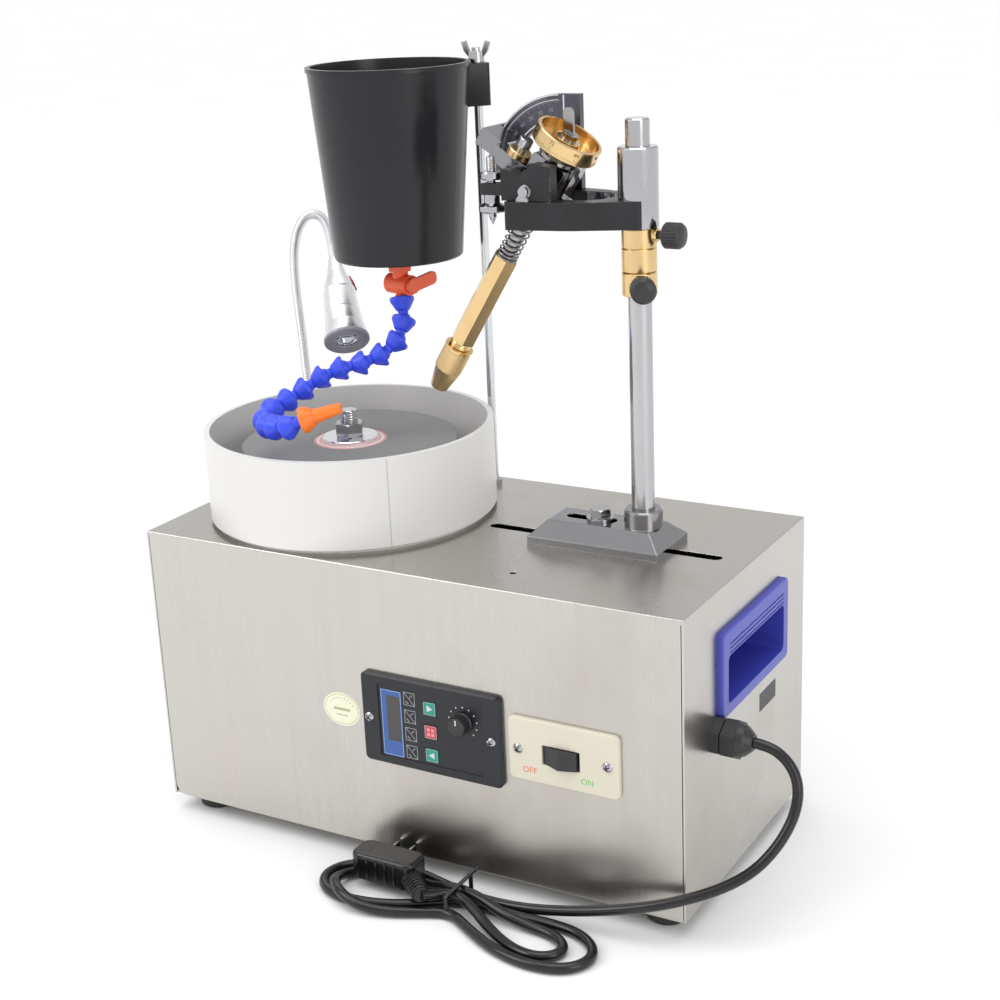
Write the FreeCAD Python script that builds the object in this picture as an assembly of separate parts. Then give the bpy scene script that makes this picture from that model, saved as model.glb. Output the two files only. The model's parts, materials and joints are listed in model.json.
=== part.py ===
import FreeCAD, Part
import math
import os

# Bench-top faceting machine: a steel case with a motor-driven lap in a splash bowl, a water bucket on a
# rod, a gooseneck lamp, and a sliding mast that carries the tilting, indexed stone holder.
# Millimetres. X runs to the machine's right, -Y is its front, Z is up from the bench.

V = FreeCAD.Vector
X, Y, Z = V(1, 0, 0), V(0, 1, 0), V(0, 0, 1)
FIT = 0.05          # radial clearance of a running fit
GAP = 0.3           # clearance between separate moving bodies
KEY_TRAVEL = 0.8    # travel of a push button

# Case
CASE_W, CASE_D, CASE_H, SHEET = 400.0, 200.0, 200.0, 1.2
SEAM, FLAP_CORNER_R = 0.6, 8.0
FOOT_H, FOOT_R, FOOT_INSET = 12.0, 15.0, 22.0
TOP = FOOT_H + CASE_H
FRONT = -CASE_D / 2
RIGHT = CASE_W / 2
MIDDLE = V(2.1, -6.5, 0)        # middle of the machine's outline, which becomes the origin

# Lap and bowl
LAP = V(-95, 0, 0)
BOWL_R, BOWL_WALL, BOWL_BOTTOM, BOWL_TOP, BOWL_FLOOR = 100.0, 4.0, 215.0, 275.0, 4.0
LAP_R, LAP_TOP, LAP_THICK, LAP_HUB_R, LAP_HUB_DROP = 75.0, 262.0, 6.0, 26.0, 0.2
SPINDLE_R, SPINDLE_TOP, JOURNAL_R = 6.0, 283.0, 8.0
MOTOR_R, MOTOR_BOTTOM, MOTOR_TOP = 48.0, 92.0, TOP - SHEET
BEARING_R, BEARING_H = 16.0, 10.0

# Front controls
PANEL_X, PANEL_Z, PANEL_W, PANEL_H, PANEL_T = 24.5, 109.0, 104.0, 63.0, 4.0
KEY_X, KEY_Z, KEY = 24.8, (123.5, 107.0, 90.5), 9.0
DIAL_X, DIAL_Z, DIAL_R, DIAL_H = 49.2, 118.8, 6.6, 9.0
PLATE_X, PLATE_Z, PLATE_W, PLATE_H, PLATE_T = 120.0, 109.0, 77.0, 43.0, 3.0
ROCKER_X, ROCKER_Z, ROCKER_W, ROCKER_H = 118.5, 108.0, 25.0, 12.5
ROCKER_TILT, ROCKER_GAP = 6.0, 0.4
SCREW_X = (-22.0, 69.5, 88.5, 150.5)

# Right end
CUP_Y, CUP_Z, CUP_W, CUP_H, CUP_RIM, CUP_DEPTH = 5.5, 155.5, 111.0, 57.0, 4.0, 36.0
GLAND = V(RIGHT, -52, 118)
GLAND_L = 25.0
CORD_R = 3.4

# Stand rod, bucket, tap and jointed hose
ROD, ROD_R, ROD_TOP = V(-29, 83.5, 0), 3.0, 519.0
BUCKET = V(-71, 39, 0)
BUCKET_R0, BUCKET_R1, BUCKET_Z0, BUCKET_Z1, BUCKET_WALL = 44.0, 54.0, 384.0, 512.0, 2.0
CLIP_TOP = BUCKET_Z1 - 3
TAP_Z, TAP_R, TAP_HALF, TAP_HEADING = 364.5, 7.0, 10.0, -13.0
HOSE_PITCH, HOSE_BELL, HOSE_BALL, HOSE_NECK, HOSE_BORE = 14.6, 8.5, 5.2, 3.6, 2.0
HOSE_START = V(BUCKET.x, BUCKET.y, 354)
# heading and slope in degrees of each hose link, from the tap to the nozzle
HOSE_LINKS = [(-50, -70), (-90, -55), (-125, -35), (-140, -20), (-140, -10), (-145, -20), (-140, -30),
              (-125, -25), (-105, -15), (-75, -15), (-45, 0), (-35, 10), (-20, 10), (5, 25)]
HOSE_SPLIT = (0, 5, 11, 14)     # first link of each rigid stretch, and the end
NOZZLE_WAY = (27, 17)

# Lamp
LAMP_FOOT = V(-185, 80, TOP)
NECK_R = 3.65
LAMP_NECK = [V(-185, 80, 219.5), V(-187, 80, 262), V(-189, 80.5, 306), V(-192, 81, 342),
             V(-193, 82, 364), V(-191.5, 83, 380), V(-187, 84.4, 392.5), V(-179, 86, 400.5),
             V(-168.5, 86, 400.5), V(-160.5, 83.6, 392), V(-155.9, 80.2, 379), V(-150.5, 74, 371)]
LAMP_WAY = V(0.47, -0.54, -0.70)
LAMP_L, LAMP_GAP = 70.0, 1.2

# Mast and its carriage
MAST = V(127, 3.5, 0)
MAST_R, MAST_TOP = 7.5, 484.0
BASE_X0, BASE_X1, BASE_Y0, BASE_Y1, BASE_H, BASE_SKIRT = 54.0, 147.0, -20.0, 27.0, 15.0, 5.0
BOSS_R, BOSS_H = 12.5, 12.0
SLOT_X0, SLOT_X1, SLOT_W = 13.0, 181.0, 8.6
BOLT_X = 96.0
COLLAR_R, COLLAR_Z0, COLLAR_Z1, LIFT_Z1 = 11.0, 377.0, 392.0, 419.0
KNOB_R = 8.0

# Arm and head
ARM_Z0, ARM_Z1 = 419.0, 436.0
ARM_EDGE = [(52, -31), (92, -24), (134, -8), (134, 15), (92, 32), (52, 40)]
FORK_Y0, FORK_Y1 = -13.0, 23.0
SLEEVE_R, SLEEVE_TOP = 12.5, 467.5
PIVOT = V(64.5, 0, 442)
TILT = 32.0         # lean of the stone holder from upright, degrees
ARC_R, ARC_WIDTH, ARC_Y, ARC_T = 53.0, 17.0, 26.0, 5.0
QUILL_R, QUILL_TOP = 5.0, 38.0
BODY_TOP, BODY_END, BODY_AF = -54.0, -121.0, 14.5
COLLET_TIP, COLLET_BORE_R, COLLET_BORE_L = -160.0, 3.0, 22.0
WHEEL_R, WHEEL_Z0, WHEEL_Z1 = 21.5, 27.5, 37.0

# Mains lead: from the gland down to the bench in front of the case, by hand
LEAD = [V(225, -52, 118), V(233.4, -52, 117.6), V(241.2, -52.1, 114.6), V(247.9, -52.6, 109.1),
        V(252.6, -53.6, 101.8), V(254.9, -55.6, 92.9), V(254.9, -59.7, 82.7), V(252.3, -66.3, 71.8),
        V(246.9, -74.9, 60.8), V(238.2, -84.9, 50.1), V(224.5, -95.5, 41.5), V(206, -105, 34),
        V(185, -112, 27), V(162, -116, 20.5), V(139, -118, 14.5), V(117, -118.6, 9.5), V(97, -118.6, 5.8),
        V(78, -118.5, 4.2)]
# The hank: a low loop on the left under the plug, a neck in the tie, and a loop on the right
HANK_LEFT = (-46.0, 42.0, -164.0, -104.0, 7.5)
HANK_NECK = (30.0, 78.0, -142.0, -112.0, 15.0)
HANK_RIGHT = (68.0, 163.0, -174.0, -121.0, 14.0)
TIE_X, TIE_W, TIE_T = 54.0, 2.6, 1.2


def box(x0, x1, y0, y1, z0, z1):
    return Part.makeBox(x1 - x0, y1 - y0, z1 - z0, V(x0, y0, z0))


def rod(radius, length, base, way=Z):
    return Part.makeCylinder(radius, length, base, way)


def hexagon(flats, height, base, way=Z):
    """A hexagonal prism, given its size across the flats."""
    corner = flats / math.sqrt(3)
    turns = [math.radians(a) for a in range(0, 361, 60)]
    ring = [V(corner * math.cos(a), corner * math.sin(a), 0) for a in turns]
    prism = Part.Face(Part.makePolygon(ring)).extrude(V(0, 0, height))
    return aim(prism, base, way)


def aim(shape, base, way):
    """Turn a shape built along +Z to point along way, and move it to base."""
    turned = shape.copy()
    turned.Placement = FreeCAD.Placement(base, FreeCAD.Rotation(Z, way))
    return turned


def turned(profile, base=V(0, 0, 0), way=Z):
    """A body of revolution from (radius, height) points."""
    points = [V(r, 0, z) for r, z in profile]
    face = Part.Face(Part.makePolygon(points + points[:1]))
    return aim(face.revolve(V(0, 0, 0), Z, 360), base, way)


def joined(first, *others):
    return first.multiFuse(list(others)).removeSplitter()


def rounded(shape, radius, way):
    """Round the edges that run along way."""
    straight = [e for e in shape.Edges if isinstance(e.Curve, Part.Line)]
    along = [e for e in straight if abs(abs(e.Curve.Direction.dot(way)) - 1) < 1e-6]
    return shape.makeFillet(radius, along)


def slab(x, z, width, height, y0, y1, radius):
    """A plate on the front of the case with rounded corners."""
    return rounded(box(x - width / 2, x + width / 2, y0, y1, z - height / 2, z + height / 2), radius, Y)


def heading(degrees, slope=0.0):
    a, b = math.radians(degrees), math.radians(slope)
    return V(math.cos(a) * math.cos(b), math.sin(a) * math.cos(b), math.sin(b))


def tube(points, radius, name):
    """A round tube along straight runs joined by tangent arcs, as large as the runs allow."""
    edges = []
    radii = []
    start = points[0]
    for before, corner, after in zip(points, points[1:], points[2:]):
        back = (before - corner).normalize()
        on = (after - corner).normalize()
        turn = math.pi - back.getAngle(on)
        reach = 0.45 * min((before - corner).Length, (after - corner).Length)
        radii.append(reach / math.tan(turn / 2))
        into = corner + back * reach
        out = corner + on * reach
        middle = (back + on).normalize()
        sagitta = radii[-1] * (1 / math.cos(turn / 2) - 1)
        edges.append(Part.LineSegment(start, into).toShape())
        edges.append(Part.Arc(into, corner + middle * sagitta, out).toShape())
        start = out
    edges.append(Part.LineSegment(start, points[-1]).toShape())
    wire = Part.Wire(edges)
    first = (points[1] - points[0]).normalize()
    ring = Part.Wire([Part.Circle(points[0], first, radius).toShape()])
    pipe = wire.makePipeShell([ring], True, False)
    share = pipe.Volume / (math.pi * radius ** 2 * wire.Length)
    print(name, "length", round(wire.Length, 1), "volume share", round(share, 4), "radii",
          [round(r) for r in radii])
    return pipe


def head_place(shape):
    """Lean a head part, built about an upright quill axis through the pivot, to the head's rest angle."""
    placed = shape.copy()
    placed.Placement = FreeCAD.Placement(PIVOT, FreeCAD.Rotation(Y, TILT)).multiply(placed.Placement)
    return placed


def feet():
    """Four rubber feet, each dished underneath for its screw."""
    profile = [(3, 5), (8, 5), (8, 0), (12, 0), (13.5, 1.5), (FOOT_R, FOOT_H), (3, FOOT_H)]
    return [turned(profile, place) for place in foot_places()]


def foot_places():
    x, y = CASE_W / 2 - FOOT_INSET, CASE_D / 2 - FOOT_INSET
    return [V(i * x, j * y, 0) for i in (-1, 1) for j in (-1, 1)]


def case_cover():
    """Folded sheet: a top and four flaps with open corner seams."""
    inset = SHEET
    outer = box(-RIGHT, RIGHT, FRONT, -FRONT, FOOT_H, TOP)
    top_edges = [e for e in outer.Edges if e.BoundBox.ZMin > TOP - 1e-6]
    outer = outer.makeFillet(1.0, top_edges)
    cover = outer.cut(box(-RIGHT + inset, RIGHT - inset, FRONT + inset, -FRONT - inset, FOOT_H - 1,
                          TOP - SHEET))
    cuts = [flap_corner()]
    for side in (-1, 1):
        seam = side * (RIGHT - SHEET - SEAM / 2)
        for y in (FRONT, -FRONT - SHEET):
            cuts.append(box(seam - SEAM / 2, seam + SEAM / 2, y - 1, y + SHEET + 1, FOOT_H - 1, TOP - 3))
    slot = box(SLOT_X0, SLOT_X1, MAST.y - SLOT_W / 2, MAST.y + SLOT_W / 2, TOP - 5, TOP + 1)
    cuts.append(rounded(slot, SLOT_W / 2 - 0.01, Z))
    cuts.append(rod(18, 6, LAP + V(0, 0, TOP - 5)))
    cuts.append(rod(2.2, 6, V(71.6, -70.8, TOP - 5)))
    cuts.append(rod(ROD_R, 6, ROD + V(0, 0, TOP - 5)))
    cuts.append(rod(4, 6, LAMP_FOOT - Z * 5))
    cuts.append(slab(PANEL_X, PANEL_Z, PANEL_W - 24, PANEL_H - 10, FRONT - 1, FRONT + 3, 2))
    cuts.append(slab(ROCKER_X, ROCKER_Z, ROCKER_W + 7.2, ROCKER_H + 7, FRONT - 1, FRONT + 3, 1))
    cuts += [rod(1.7, 4, V(x, FRONT - 1, 109), Y) for x in SCREW_X]
    cuts.append(box(RIGHT - 3, RIGHT + 1, CUP_Y - CUP_W / 2 + 6, CUP_Y + CUP_W / 2 - 6, CUP_Z - 23,
                    CUP_Z + 23))
    cuts.append(box(RIGHT - 3, RIGHT + 1, 20, 49, 102, 115))
    cuts.append(rod(8, 5, GLAND - X * 3, X))
    return [cover.cut(Part.makeCompound(cuts))]


def flap_corner():
    """What is cut away to round the front flap's lower left corner."""
    edge = -RIGHT + SHEET + SEAM
    centre = V(edge + FLAP_CORNER_R, FRONT - 1, FOOT_H + FLAP_CORNER_R)
    square = box(edge, centre.x, FRONT - 1, FRONT + SHEET, FOOT_H - 1, centre.z)
    return square.cut(rod(FLAP_CORNER_R, SHEET + 2, centre, Y))


def base_plate():
    edge = SHEET
    plate = box(-RIGHT + edge, RIGHT - edge, FRONT + edge, -FRONT - edge, FOOT_H, FOOT_H + 1.6)
    return [plate.cut(Part.makeCompound([rod(3, 5, p + Z * (FOOT_H - 1)) for p in foot_places()]))]


def fasteners():
    """Foot screws, front screws, and the nuts that hold the rod and the lamp."""
    parts = []
    for place in foot_places():
        shank = rod(3, 13, place + Z * 5)
        head = rod(6.5, 3, place + Z * 2)
        parts.append(joined(shank, head))
    for x in SCREW_X:
        face = FRONT - (PANEL_T if x < 80 else PLATE_T)
        dome = Part.makeSphere(4.2, V(x, face + 2.4, 109))
        dome = dome.common(box(x - 5, x + 5, face - 5, face, 100, 118))
        shank = rod(1.6, 12, V(x, face, 109), Y)
        parts.append(joined(dome, shank))
    parts.append(hexagon(10, 4, ROD + Z * TOP).cut(rod(ROD_R, 10, ROD + Z * (TOP - 1))))
    lamp_nut = joined(hexagon(15, 5, LAMP_FOOT), rod(5.5, 7, LAMP_FOOT))
    parts.append(joined(lamp_nut, rod(4, 8, LAMP_FOOT - Z * 8)))
    return parts


def splash_bowl():
    r, f = BOWL_R, BOWL_BOTTOM + BOWL_FLOOR
    profile = [(20, BOWL_BOTTOM), (20, f + 14), (24, f + 14), (24, f), (r - BOWL_WALL, f),
               (r - BOWL_WALL, BOWL_TOP), (r, BOWL_TOP), (r, BOWL_BOTTOM), (r - 4, BOWL_BOTTOM),
               (r - 4, TOP), (r - 12, TOP), (r - 12, BOWL_BOTTOM)]
    return [turned(profile, LAP)]


def motor_housing():
    """Can with end bells whose bearing seats open inwards, and a flange under the case top."""
    r, wall = MOTOR_R, 4.0
    low, high = MOTOR_BOTTOM, MOTOR_TOP
    seat_low, seat_high = low + BEARING_H, high - 4 - BEARING_H
    profile = [(BEARING_R, low), (r, low), (r, high - 6), (r + 10, high - 6), (r + 10, high), (12, high),
               (12, high - 4), (BEARING_R, high - 4), (BEARING_R, seat_high), (r - wall, seat_high),
               (r - wall, seat_low), (BEARING_R, seat_low)]
    return [turned(profile, LAP)]


def spindle_bearings():
    ring = [(JOURNAL_R + FIT, 0), (BEARING_R, 0), (BEARING_R, BEARING_H), (JOURNAL_R + FIT, BEARING_H)]
    return [turned(ring, LAP + Z * z) for z in (MOTOR_BOTTOM, MOTOR_TOP - 4 - BEARING_H)]


def rotor_shaft():
    flange_seat = LAP_TOP - LAP_THICK - 10
    profile = [(0, MOTOR_BOTTOM - 8), (JOURNAL_R, MOTOR_BOTTOM - 8), (JOURNAL_R, flange_seat),
               (SPINDLE_R, flange_seat), (SPINDLE_R, SPINDLE_TOP - 1), (SPINDLE_R - 1, SPINDLE_TOP),
               (0, SPINDLE_TOP)]
    rotor = [(JOURNAL_R, 110), (38, 110), (38, 185), (JOURNAL_R, 185)]
    return [turned(profile, LAP), turned(rotor, LAP)]


def lap_flanges():
    """The flange that the lap sits on, and the washer above it."""
    low, seat = LAP_TOP - LAP_THICK - 10, LAP_TOP - LAP_THICK
    lower = [(SPINDLE_R, low), (14, low), (14, low + 4), (30, seat - 3), (30, seat), (SPINDLE_R, seat)]
    hub = LAP_TOP - LAP_HUB_DROP
    washer = [(SPINDLE_R, hub), (19.5, hub), (19.5, LAP_TOP + 2), (18.8, LAP_TOP + 2.6),
              (SPINDLE_R, LAP_TOP + 2.6)]
    return [turned(lower, LAP), turned(washer, LAP)]


def lap_disc():
    """Grinding disc whose working face stands a little above its hub."""
    low, hub = LAP_TOP - LAP_THICK, LAP_TOP - LAP_HUB_DROP
    profile = [(SPINDLE_R, low), (LAP_R - 0.6, low), (LAP_R, low + 0.6), (LAP_R, LAP_TOP - 0.6),
               (LAP_R - 0.6, LAP_TOP), (LAP_HUB_R, LAP_TOP), (LAP_HUB_R, hub), (SPINDLE_R, hub)]
    return [turned(profile, LAP)]


def chamfered_nut(flats, height, bore, base, way=Z):
    """A hexagonal nut with turned corners."""
    blank = hexagon(flats, height, V(0, 0, 0))
    half = flats / 2
    corner = flats / math.sqrt(3) + 0.1
    trim = turned([(0, 0), (half, 0), (corner, 1.1), (corner, height - 1.1), (half, height), (0, height)])
    nut = blank.common(trim)
    if bore:
        nut = nut.cut(rod(bore, height + 2, V(0, 0, -1)))
    return aim(nut, base, way)


def spindle_nut():
    return [chamfered_nut(18, 9.5, SPINDLE_R, LAP + Z * (LAP_TOP + 2.6))]


def control_panel():
    """Panel frame with a sunk face, a housing behind it, and holes for three keys and the dial's shaft."""
    face = FRONT - PANEL_T
    body = slab(PANEL_X, PANEL_Z, PANEL_W, PANEL_H, face, FRONT, 4)
    front_edges = [e for e in body.Edges if e.BoundBox.YMax < face + 1e-6]
    body = body.makeChamfer(1.2, front_edges)
    body = body.cut(slab(PANEL_X, PANEL_Z, PANEL_W - 26, PANEL_H - 12, face - 1, face + 0.8, 1))
    body = joined(body, slab(PANEL_X, PANEL_Z, PANEL_W - 24, PANEL_H - 10, FRONT, FRONT + 26, 2))
    body = body.cut(box(PANEL_X - 37, PANEL_X + 37, face + 3, FRONT + 30, PANEL_Z - 24, PANEL_Z + 24))
    side = KEY / 2 + GAP
    holes = [box(KEY_X - side, KEY_X + side, face - 1, FRONT, z - side, z + side) for z in KEY_Z]
    holes.append(rod(3 + FIT, 10, V(DIAL_X, face - 1, DIAL_Z), Y))
    holes += [rod(1.6, 12, V(x, face - 1, 109), Y) for x in SCREW_X[:2]]
    return [body.cut(Part.makeCompound(holes))]


def control_board():
    board = box(PANEL_X - 37, PANEL_X + 37, FRONT + 12, FRONT + 13.6, PANEL_Z - 24, PANEL_Z + 24)
    blocks = [box(PANEL_X + x, PANEL_X + x + 14, FRONT + 13.6, FRONT + 22, PANEL_Z - 12, PANEL_Z + 6)
              for x in (-28, -6, 16)]
    return [joined(board, *blocks)]


def key(z):
    """A push key with a rounded cap that stands just proud of the panel's sunk face."""
    face = FRONT - PANEL_T + 0.2
    return [slab(KEY_X, z, KEY, KEY, face, FRONT + 1, 1.2)]


def speed_knob():
    face = FRONT - PANEL_T + 0.5
    profile = [(0, 0), (DIAL_R + 0.6, 0), (DIAL_R + 0.6, 1.2), (DIAL_R, 2), (DIAL_R - 0.5, DIAL_H - 0.6),
               (DIAL_R - 1.1, DIAL_H), (0, DIAL_H)]
    knob = turned(profile, V(DIAL_X, face, DIAL_Z), -Y)
    flutes = []
    reach = DIAL_R + 0.1
    for i in range(16):
        a = math.radians(i * 22.5)
        place = V(DIAL_X + reach * math.cos(a), face - 2, DIAL_Z + reach * math.sin(a))
        flutes.append(rod(0.7, 8, place, -Y))
    knob = knob.cut(Part.makeCompound(flutes))
    return [joined(knob, rod(3, 8, V(DIAL_X, face, DIAL_Z), Y))]


def switch_plate():
    face = FRONT - PLATE_T
    plate = slab(PLATE_X, PLATE_Z, PLATE_W, PLATE_H, face, FRONT, 4)
    plate = plate.makeFillet(1.2, [e for e in plate.Edges if e.BoundBox.YMax < face + 1e-6])
    holes = [slab(ROCKER_X, ROCKER_Z, ROCKER_W + 1.2, ROCKER_H + 0.8, face - 1, FRONT + 1, 0.5)]
    holes += [rod(1.6, 12, V(x, face - 1, 109), Y) for x in SCREW_X[2:]]
    return [plate.cut(Part.makeCompound(holes))]


def switch_body():
    """The switch's housing behind the plate, hollow at the front for the rocker."""
    shell = box(ROCKER_X - 16, ROCKER_X + 16, FRONT, FRONT + 20, ROCKER_Z - 9, ROCKER_Z + 9)
    well = box(ROCKER_X - 14.5, ROCKER_X + 14.5, FRONT - 1, FRONT + 10, ROCKER_Z - 6.9, ROCKER_Z + 6.9)
    tabs = [box(ROCKER_X + x, ROCKER_X + x + 2, FRONT + 20, FRONT + 28, ROCKER_Z - 3, ROCKER_Z + 3)
            for x in (-8, -1, 6)]
    return [joined(shell.cut(well), *tabs)]


def rocker():
    """Rocker with two flat faces that meet at a ridge, its left face pressed in."""
    half, low, high = ROCKER_W / 2 - ROCKER_GAP, 6.0, 10.5
    back = FRONT + 3
    outline = [V(-half, 0, 0), V(half, 0, 0), V(half, -low, 0), V(1, -high, 0), V(-half, -low, 0),
               V(-half, 0, 0)]
    face = Part.Face(Part.makePolygon(outline))
    block = face.extrude(V(0, 0, ROCKER_H))
    block.rotate(V(0, 0, 0), Z, -ROCKER_TILT)
    block.translate(V(ROCKER_X, back, ROCKER_Z - ROCKER_H / 2))
    return [block]


def handle_cup():
    """Recessed carrying grip: a rim on the case's end and a cup behind it."""
    y0, y1 = CUP_Y - CUP_W / 2, CUP_Y + CUP_W / 2
    z0, z1 = CUP_Z - CUP_H / 2, CUP_Z + CUP_H / 2
    rim = rounded(box(RIGHT, RIGHT + CUP_RIM, y0, y1, z0, z1), 5, X)
    rim = rim.makeFillet(1.5, [e for e in rim.Edges if e.BoundBox.XMin > RIGHT + CUP_RIM - 1e-6])
    cup = box(RIGHT - CUP_DEPTH, RIGHT, y0 + 6, y1 - 6, CUP_Z - 23, CUP_Z + 23)
    front = RIGHT + CUP_RIM
    mouth = rounded(box(RIGHT - CUP_DEPTH + 2.5, front + 1, y0 + 8.5, y1 - 8.5, z0 + 8, z1 - 17), 4, X)
    grooves = [box(front - 0.8, front + 1, y0 + 11, y1 - 9, z1 - 10 - 3 * i, z1 - 9 - 3 * i)
               for i in range(3)]
    return [joined(rim, cup).cut(Part.makeCompound([mouth] + grooves))]


def window_insert():
    lens = box(RIGHT - SHEET - 2, RIGHT, 20, 49, 102, 115)
    back = box(RIGHT - SHEET - 3, RIGHT - SHEET, 18, 51, 100, 117)
    return [joined(lens, back)]


def cable_gland():
    """Gland body, clamp nut with a domed nose, and the locknut inside the case."""
    flange = hexagon(22, 6, GLAND, X)
    nose = turned([(0, 7), (11, 7), (11, 16), (9.5, 20), (6.5, 23.5), (5, GLAND_L), (0, GLAND_L)], GLAND, X)
    collar = rod(10, 1, GLAND + X * 6, X)
    grip = hexagon(23, 9, GLAND + X * 7, X)
    thread = rod(8, SHEET + 8, GLAND - X * (SHEET + 8), X)
    return [joined(flange, nose, collar, grip, thread),
            hexagon(22, 4, GLAND - X * (SHEET + 4), X).cut(rod(8, 8, GLAND - X * 8, X))]


def cord_hank():
    lobes = []
    for x0, x1, y0, y1, height in (HANK_LEFT, HANK_RIGHT):
        lobes.append(rounded(box(x0, x1, y0, y1, 0, height), 0.45 * (y1 - y0), Z))
    x0, x1, y0, y1, height = HANK_NECK
    return [joined(box(x0, x1, y0, y1, 0, height), *lobes)]


def stand_rod():
    thread = ROD + Z * (TOP - 9)
    return [joined(rod(ROD_R, ROD_TOP - TOP + 9, thread), hexagon(10, 4, thread + Z * 3))]


def wing_nut():
    base = ROD + Z * (CLIP_TOP + GAP)
    hub = turned([(ROD_R + FIT, 0), (5.5, 0), (4.9, 7), (ROD_R + FIT, 7)], base)
    wings = []
    for side in (-1, 1):
        points = [(4.4, 2), (9, 7), (11, 13), (7.5, 14), (4.5, 6.5)]
        ring = [V(side * r, 0, z) for r, z in points]
        wing = Part.Face(Part.makePolygon(ring + ring[:1])).extrude(V(0, 1.6, 0))
        wing.translate(base - Y * 0.8)
        wings.append(wing)
    return [joined(hub, *wings)]


def bucket_way():
    return (ROD - BUCKET).normalize()


def water_bucket():
    r0, r1, z0, z1, t = BUCKET_R0, BUCKET_R1, BUCKET_Z0, BUCKET_Z1, BUCKET_WALL
    profile = [(0, z0), (r0 - 1, z0), (r0, z0 + 1), (r1, z1 - 3), (r1 + 1, z1 - 3), (r1 + 1, z1),
               (r1 - t, z1), (r0 - t + 0.2, z0 + 2.5), (0, z0 + 2.5)]
    return [turned(profile, BUCKET)]


def bucket_clip():
    """Block on the bucket's side that the rod passes through."""
    way = bucket_way()
    reach = (ROD - BUCKET).Length
    block = box(BUCKET_R1 - 6, reach + 7, -8, 8, CLIP_TOP - 28, CLIP_TOP)
    block = rounded(block, 2, Z)
    block.rotate(V(0, 0, 0), Z, math.degrees(math.atan2(way.y, way.x)))
    block.translate(BUCKET)
    bucket_space = Part.makeCone(BUCKET_R0, BUCKET_R1, BUCKET_Z1 - BUCKET_Z0 - 4,
                                 BUCKET + Z * (BUCKET_Z0 + 1))
    return [block.cut(bucket_space).cut(rod(ROD_R + FIT, 60, ROD + Z * (BUCKET_Z1 - 50)))]


def tap_axis():
    return heading(TAP_HEADING)


def tap_body():
    """Tap under the bucket: hexagon, barrel across, and an outlet that ends in a ball."""
    base = BUCKET
    nut = hexagon(15, 10, base + Z * (BUCKET_Z0 - 10))
    neck = rod(5.5, BUCKET_Z0 - TAP_Z - 1, base + Z * (TAP_Z + 1))
    barrel = rod(TAP_R, 2 * TAP_HALF, base + Z * TAP_Z - tap_axis() * TAP_HALF, tap_axis())
    outlet = turned([(0, 7), (6, 7), (7, 5.2), (HOSE_NECK, 4.6), (HOSE_NECK, 0), (0, 0)], HOSE_START)
    ball = Part.makeSphere(HOSE_BALL, HOSE_START)
    water = rod(HOSE_BORE, 60, HOSE_START - Z * 10)
    return [joined(nut, neck, barrel, outlet, ball).cut(water.common(rod(4, 10, HOSE_START - Z * 10)))]


def tap_lever():
    axis = tap_axis()
    hub = rod(5.5, 3, BUCKET + Z * TAP_Z + axis * (TAP_HALF + GAP), axis)
    paddle = rounded(box(-1.2, 1.2, 0, 22, -4.5, 4.5), 3.5, X)
    paddle.rotate(V(0, 0, 0), X, 8)
    paddle.rotate(V(0, 0, 0), Z, TAP_HEADING)
    paddle.translate(BUCKET + Z * TAP_Z + axis * (TAP_HALF + GAP + 1.8))
    return [joined(hub, paddle)]


def hose_joints():
    """Ball centres along the hose, and the direction of each link."""
    place = HOSE_START
    places = [place]
    ways = []
    for turn, slope in HOSE_LINKS:
        ways.append(heading(turn, slope))
        place = place + ways[-1] * HOSE_PITCH
        places.append(place)
    return places, ways


def hose_link(place, way):
    """One link: a flared bell over the ball before it, a neck, and a ball of its own."""
    socket = HOSE_BALL + GAP
    rim = -1.2
    inner = math.sqrt(socket ** 2 - rim ** 2)
    shell = turned([(0, rim), (HOSE_BELL - 0.4, rim), (HOSE_BELL, rim + 0.5), (HOSE_BELL, 1.2),
                    (HOSE_NECK + 1.4, 7.5), (HOSE_NECK, 8.6), (HOSE_NECK, HOSE_PITCH), (0, HOSE_PITCH)])
    ball = Part.makeSphere(HOSE_BALL, V(0, 0, HOSE_PITCH))
    mouth = turned([(0, rim - 1), (inner + 0.4, rim - 1), (inner, rim), (0, rim)])
    link = joined(shell, ball)
    link = link.cut(Part.makeSphere(socket, V(0, 0, 0))).cut(mouth)
    link = link.cut(rod(HOSE_BORE, HOSE_PITCH + 20, V(0, 0, 0)))
    return aim(link, place, way)


def hose_stretch(number):
    places, ways = hose_joints()
    first, end = HOSE_SPLIT[number], HOSE_SPLIT[number + 1]
    return [hose_link(places[i], ways[i]) for i in range(first, end)]


def nozzle():
    places, _ = hose_joints()
    socket = HOSE_BALL + GAP
    rim = -1.2
    inner = math.sqrt(socket ** 2 - rim ** 2)
    body = turned([(0, rim), (HOSE_BELL, rim), (HOSE_BELL + 0.3, 0), (HOSE_BELL - 0.4, 3), (6.2, 6.4),
                   (4.9, 8), (3.5, 26), (0, 26)])
    mouth = turned([(0, rim - 1), (inner + 0.4, rim - 1), (inner, rim), (0, rim)])
    body = body.cut(Part.makeSphere(socket, V(0, 0, 0))).cut(mouth)
    body = body.cut(turned([(0, 0), (HOSE_BORE, 0), (HOSE_BORE, 22), (2.4, 27), (0, 27)]))
    return [aim(body, places[-1], heading(*NOZZLE_WAY))]


def lamp_place():
    """The middle of the lamp's back end, and the way it shines."""
    way = V(LAMP_WAY).normalize()
    return LAMP_NECK[-1] + way * LAMP_GAP, way


def lamp_side():
    """Square to the lamp's axis, towards the machine's right: the side that carries its button."""
    way = V(LAMP_WAY).normalize()
    right = heading(29.5, -2)
    return (right - way * right.dot(way)).normalize()


def gooseneck():
    return [tube(LAMP_NECK, NECK_R, "gooseneck")]


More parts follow.
